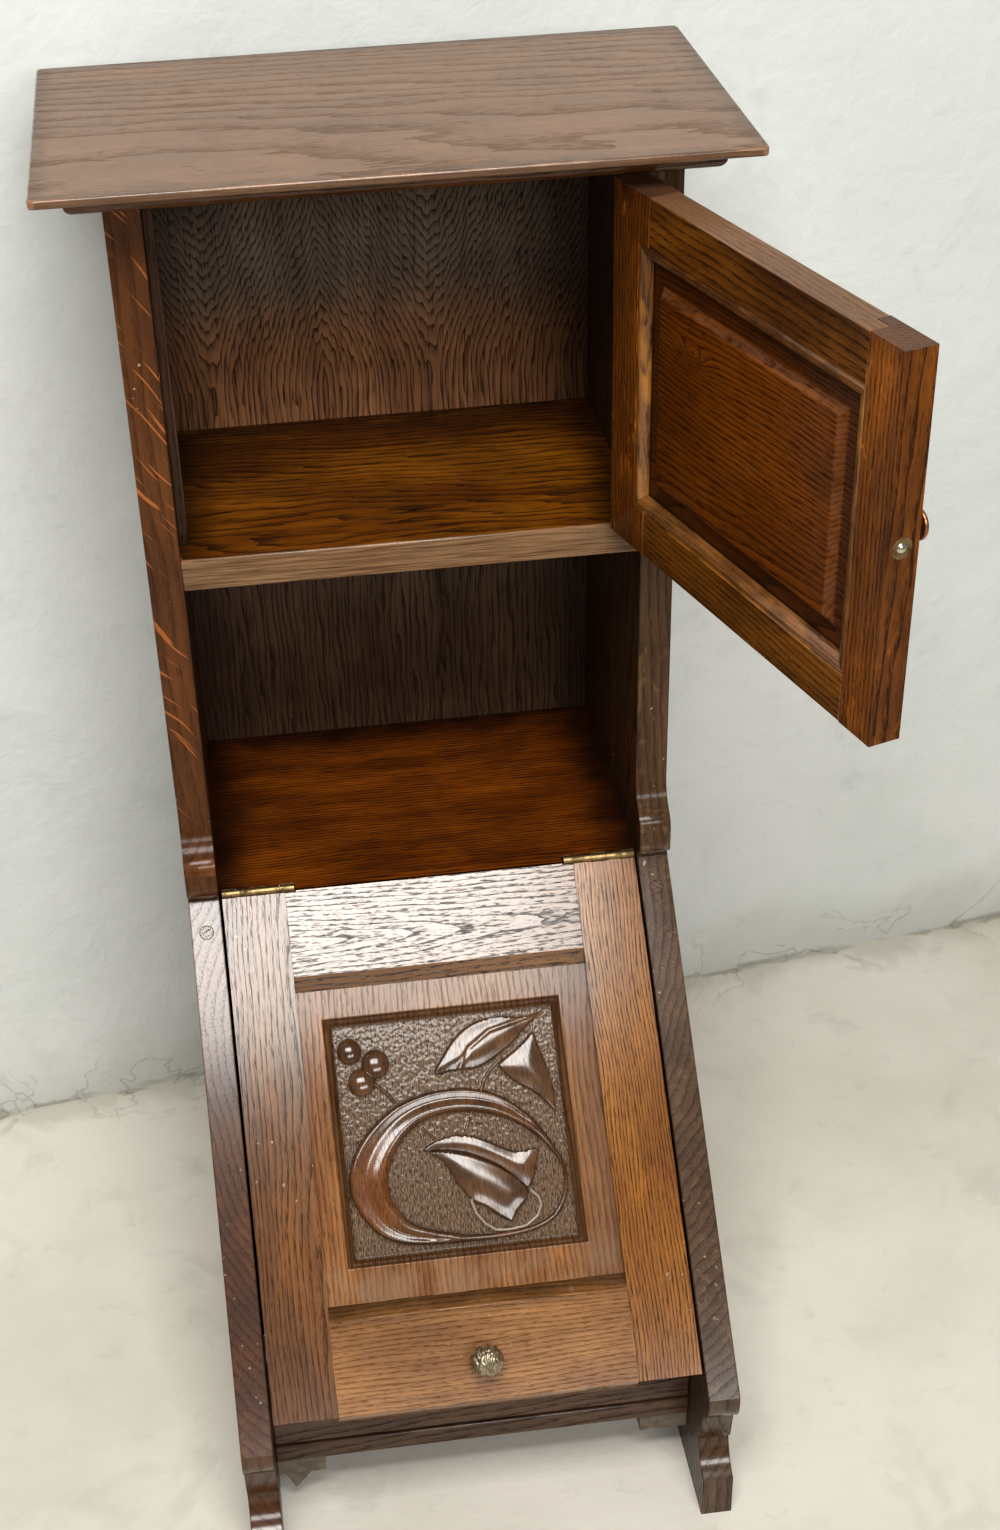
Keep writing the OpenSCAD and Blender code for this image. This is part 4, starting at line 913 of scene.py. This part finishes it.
# the lid's knob, in the lid's own directions from the middle of its foot
KNOB_AT = Vector((0, -339.8 * MM, -1 * MM))
KNOB_PLAIN, KNOB_HIGH = 4.5 * MM, 21.5 * MM  # its plain foot, and the height of the bud above that
BUD_X, BUD_Y, BUD_R = 1.3 * MM, -1.8 * MM, 7.5 * MM
PETALS, CROWN_ANGLE = 9, 2.15  # the crown's petals, and which side of the knob it curls over
FINE_EDGE, MOST_FACES = 0.55 * MM, 60000


def leaf_bud():
    """The cast knob: a ribbed bud with a crown of small petals curled over its upper left."""
    mesh, bm = node_copy("lid_knob")
    for _ in range(5):
        long = [e for e in bm.edges if e.calc_length() > FINE_EDGE]
        if not long or len(bm.faces) > MOST_FACES:
            break
        bmesh.ops.subdivide_edges(bm, edges=long, cuts=1, use_grid_fill=True)
    back = LID_TURN.transposed()
    for vert in bm.verts:
        local = back @ (vert.co - LID_ORIGIN) - KNOB_AT
        if math.hypot(local.x, local.y) < 1e-6 or local.z < KNOB_PLAIN:
            continue
        high = min(1.0, (local.z - KNOB_PLAIN) / KNOB_HIGH)
        angle = math.atan2(local.y, local.x)
        off_x, off_y = local.x - BUD_X, local.y - BUD_Y
        bud = math.hypot(off_x, off_y)
        side = max(0.0, math.cos(angle - CROWN_ANGLE)) ** 0.5
        crown = side * min(1.0, max(0.0, (bud - BUD_R) / (1.2 * MM)))
        petals = crown * (0.5 + 0.5 * math.cos(PETALS * angle + 14 * bud / (12 * MM)))
        wave = off_x * 2800 + 1.5 * math.sin(off_y * 900) + 1.2 * math.sin(off_x * 700 - off_y * 500)
        ribs = (1 - crown) * (0.5 + 0.5 * math.sin(wave))
        groove = side * math.exp(-((bud - BUD_R - 0.3 * MM) / (0.7 * MM)) ** 2)
        cut = 0.055 * ribs + 0.16 * petals + 0.14 * groove
        cut *= math.sin(math.pi * min(1.0, 0.12 + high * 0.88)) ** 0.5
        local.x *= 1 - cut
        local.y *= 1 - cut
        local.z -= (0.5 * ribs + 1.2 * petals + groove) * MM * min(1.0, high * 2)
        vert.co = LID_TURN @ (local + KNOB_AT) + LID_ORIGIN
    bmesh.ops.recalc_face_normals(bm, faces=bm.faces)
    bm.to_mesh(mesh)
    bm.free()
    mesh.shade_smooth()
    return mesh


piece("lid_knob_made", leaf_bud(), "lid", SLOT_OF["lid_knob"], dark_brass, "lid_knob")
dress("door_knob", copper)
dress("catch_ball", steel)
dress("catch_spring", steel)
for node in ("coal_liner", "liner_ears", "liner_rivets", "liner_bail"):
    dress(node, iron)

# -------- floor, wall, lights, camera
ROOM = 4  # metres from the middle of the room to its ends
WALL_Y, WALL_LEAN = 0.287, 0.141  # the wall crosses the middle at WALL_Y and runs a little askew
WALL_OUT = Vector((WALL_LEAN, -1, 0)).normalized()


def plane(name, corners, finish):
    mesh = bpy.data.meshes.new(name)
    mesh.from_pydata(corners, [], [tuple(range(len(corners)))])
    mesh.materials.append(finish)
    placed(name, mesh)


def plaster(name, low, high, scale, bump, corner, reach):
    """Pale paint or cement, soiled up to a reach from the corner line of wall and floor. Its back is not drawn."""
    f = Finish(name)
    cloud = f.noise(f.place, scale, 6.0, 0.6)
    blot = f.noise(f.place, scale * 5, 4.0, 0.65, 0.6)
    swell = f.noise(f.place, 42.0, 4.0, 0.6, 0.4)
    grit = f.noise(f.place, 230.0, 3.0, 0.6)
    cracked = f.noise(f.place, 8.0, 4.0, 0.6, 0.8) - 0.5
    base = f.blend(cloud.rise(0.36, 0.64), low, high)
    base = f.blend(blot.rise(0.54, 0.72) * 0.42, base, shade(low, 0.80))
    base = f.blend(swell.rise(0.58, 0.74) * 0.32, base, shade(low, 0.84))
    near = abs(f.along(*corner))
    soil = 1 - (near + (blot - 0.5) * 0.12).rise(0.0, reach)
    crack = (1 - (cracked * cracked).rise(0.0, 0.00009)) * (1 - near.rise(0.01, 0.07))
    line = 1 - (near + (swell - 0.62) * 0.02).rise(0.0, 4 * MM)
    base = f.blend(soil * 0.4, base, srgb(158, 156, 138))
    base = f.blend((crack * 0.25 + line * blot.rise(0.42, 0.58) * 0.5).held(), base, srgb(110, 102, 84))
    relief = cloud + blot * 0.2 + swell * 0.12 + grit * 0.016 - crack * 0.03
    f.put(Base_Color=base, Roughness=0.85, Normal=f.bump(relief, bump, 0.7))
    f.put(Alpha=1 - f.node("ShaderNodeNewGeometry", out="Backfacing"))
    return f.material


left_y, right_y = WALL_Y - ROOM * WALL_LEAN, WALL_Y + ROOM * WALL_LEAN
plane("floor", [(-ROOM, -ROOM, 0), (ROOM, -ROOM, 0), (ROOM, ROOM, 0), (-ROOM, ROOM, 0)],
      plaster("floor_pale", srgb(208, 203, 190), srgb(224, 219, 208), 2.4, 6 * MM, (WALL_OUT, (0, WALL_Y, 0)), 0.035))
plane("wall", [(-ROOM, left_y, 0), (ROOM, right_y, 0), (ROOM, right_y, ROOM), (-ROOM, left_y, ROOM)],
      plaster("wall_pale", srgb(208, 212, 209), srgb(223, 225, 223), 1.6, 16 * MM, (Z,), 0.09))

scene.world = bpy.data.worlds.new("room")
scene.world.use_nodes = True
air = scene.world.node_tree.nodes["Background"].inputs
air["Color"].default_value = (0.93, 0.93, 0.91, 1)
air["Strength"].default_value = 0.25


def lamp(name, place, aim, size, radiance, tint):
    data = bpy.data.lights.new(name, "AREA")
    data.shape = "RECTANGLE"
    data.size, data.size_y = size
    data.energy = radiance * math.pi * size[0] * size[1]
    data.color = tint
    obj = placed(name, data)
    obj.location = place
    obj.rotation_euler = (Vector(aim) - Vector(place)).to_track_quat("-Z", "Y").to_euler()


lamp("key", (-0.13, -1.154, 2.225), (-0.13, -0.05, 0.4), (1.1, 0.6), 20.0, (1.0, 0.98, 0.935))
lamp("window", (0.35, -2.5, 1.75), (0, 0.1, 0.6), (1.5, 0.5), 14.0, (1.0, 0.985, 0.96))

# the photograph's camera in the CAD frame, solved from the cabinet's straight edges; angles are in radians
CAM_AT = Vector((-118.85, -1287.07, 1320.78)) * MM
CAM_YAW, CAM_PITCH, CAM_ROLL = 0.104648, -0.629478, -0.039031
FOCAL_PX, CENTRE_PX = 2223.45, (451.29, 881.83)
PHOTO_W, PHOTO_H = 1000, 1530
SENSOR = 36
level = Vector((math.cos(CAM_YAW), -math.sin(CAM_YAW), 0))
forward = Vector((math.sin(CAM_YAW) * math.cos(CAM_PITCH), math.cos(CAM_YAW) * math.cos(CAM_PITCH),
                  math.sin(CAM_PITCH)))
upright = level.cross(forward)
right = math.cos(CAM_ROLL) * level + math.sin(CAM_ROLL) * upright
upward = -math.sin(CAM_ROLL) * level + math.cos(CAM_ROLL) * upright
camera = placed("camera", bpy.data.cameras.new("camera"))
camera.matrix_world = Matrix((right, upward, -forward)).transposed().to_4x4()
camera.location = CAM_AT
camera.data.sensor_width = SENSOR
camera.data.lens = FOCAL_PX / PHOTO_H * SENSOR
camera.data.shift_x = (PHOTO_W / 2 - CENTRE_PX[0]) / PHOTO_H
camera.data.shift_y = (CENTRE_PX[1] - PHOTO_H / 2) / PHOTO_H
bpy.context.scene.camera = camera

bpy.context.scene.view_settings.view_transform = "Standard"
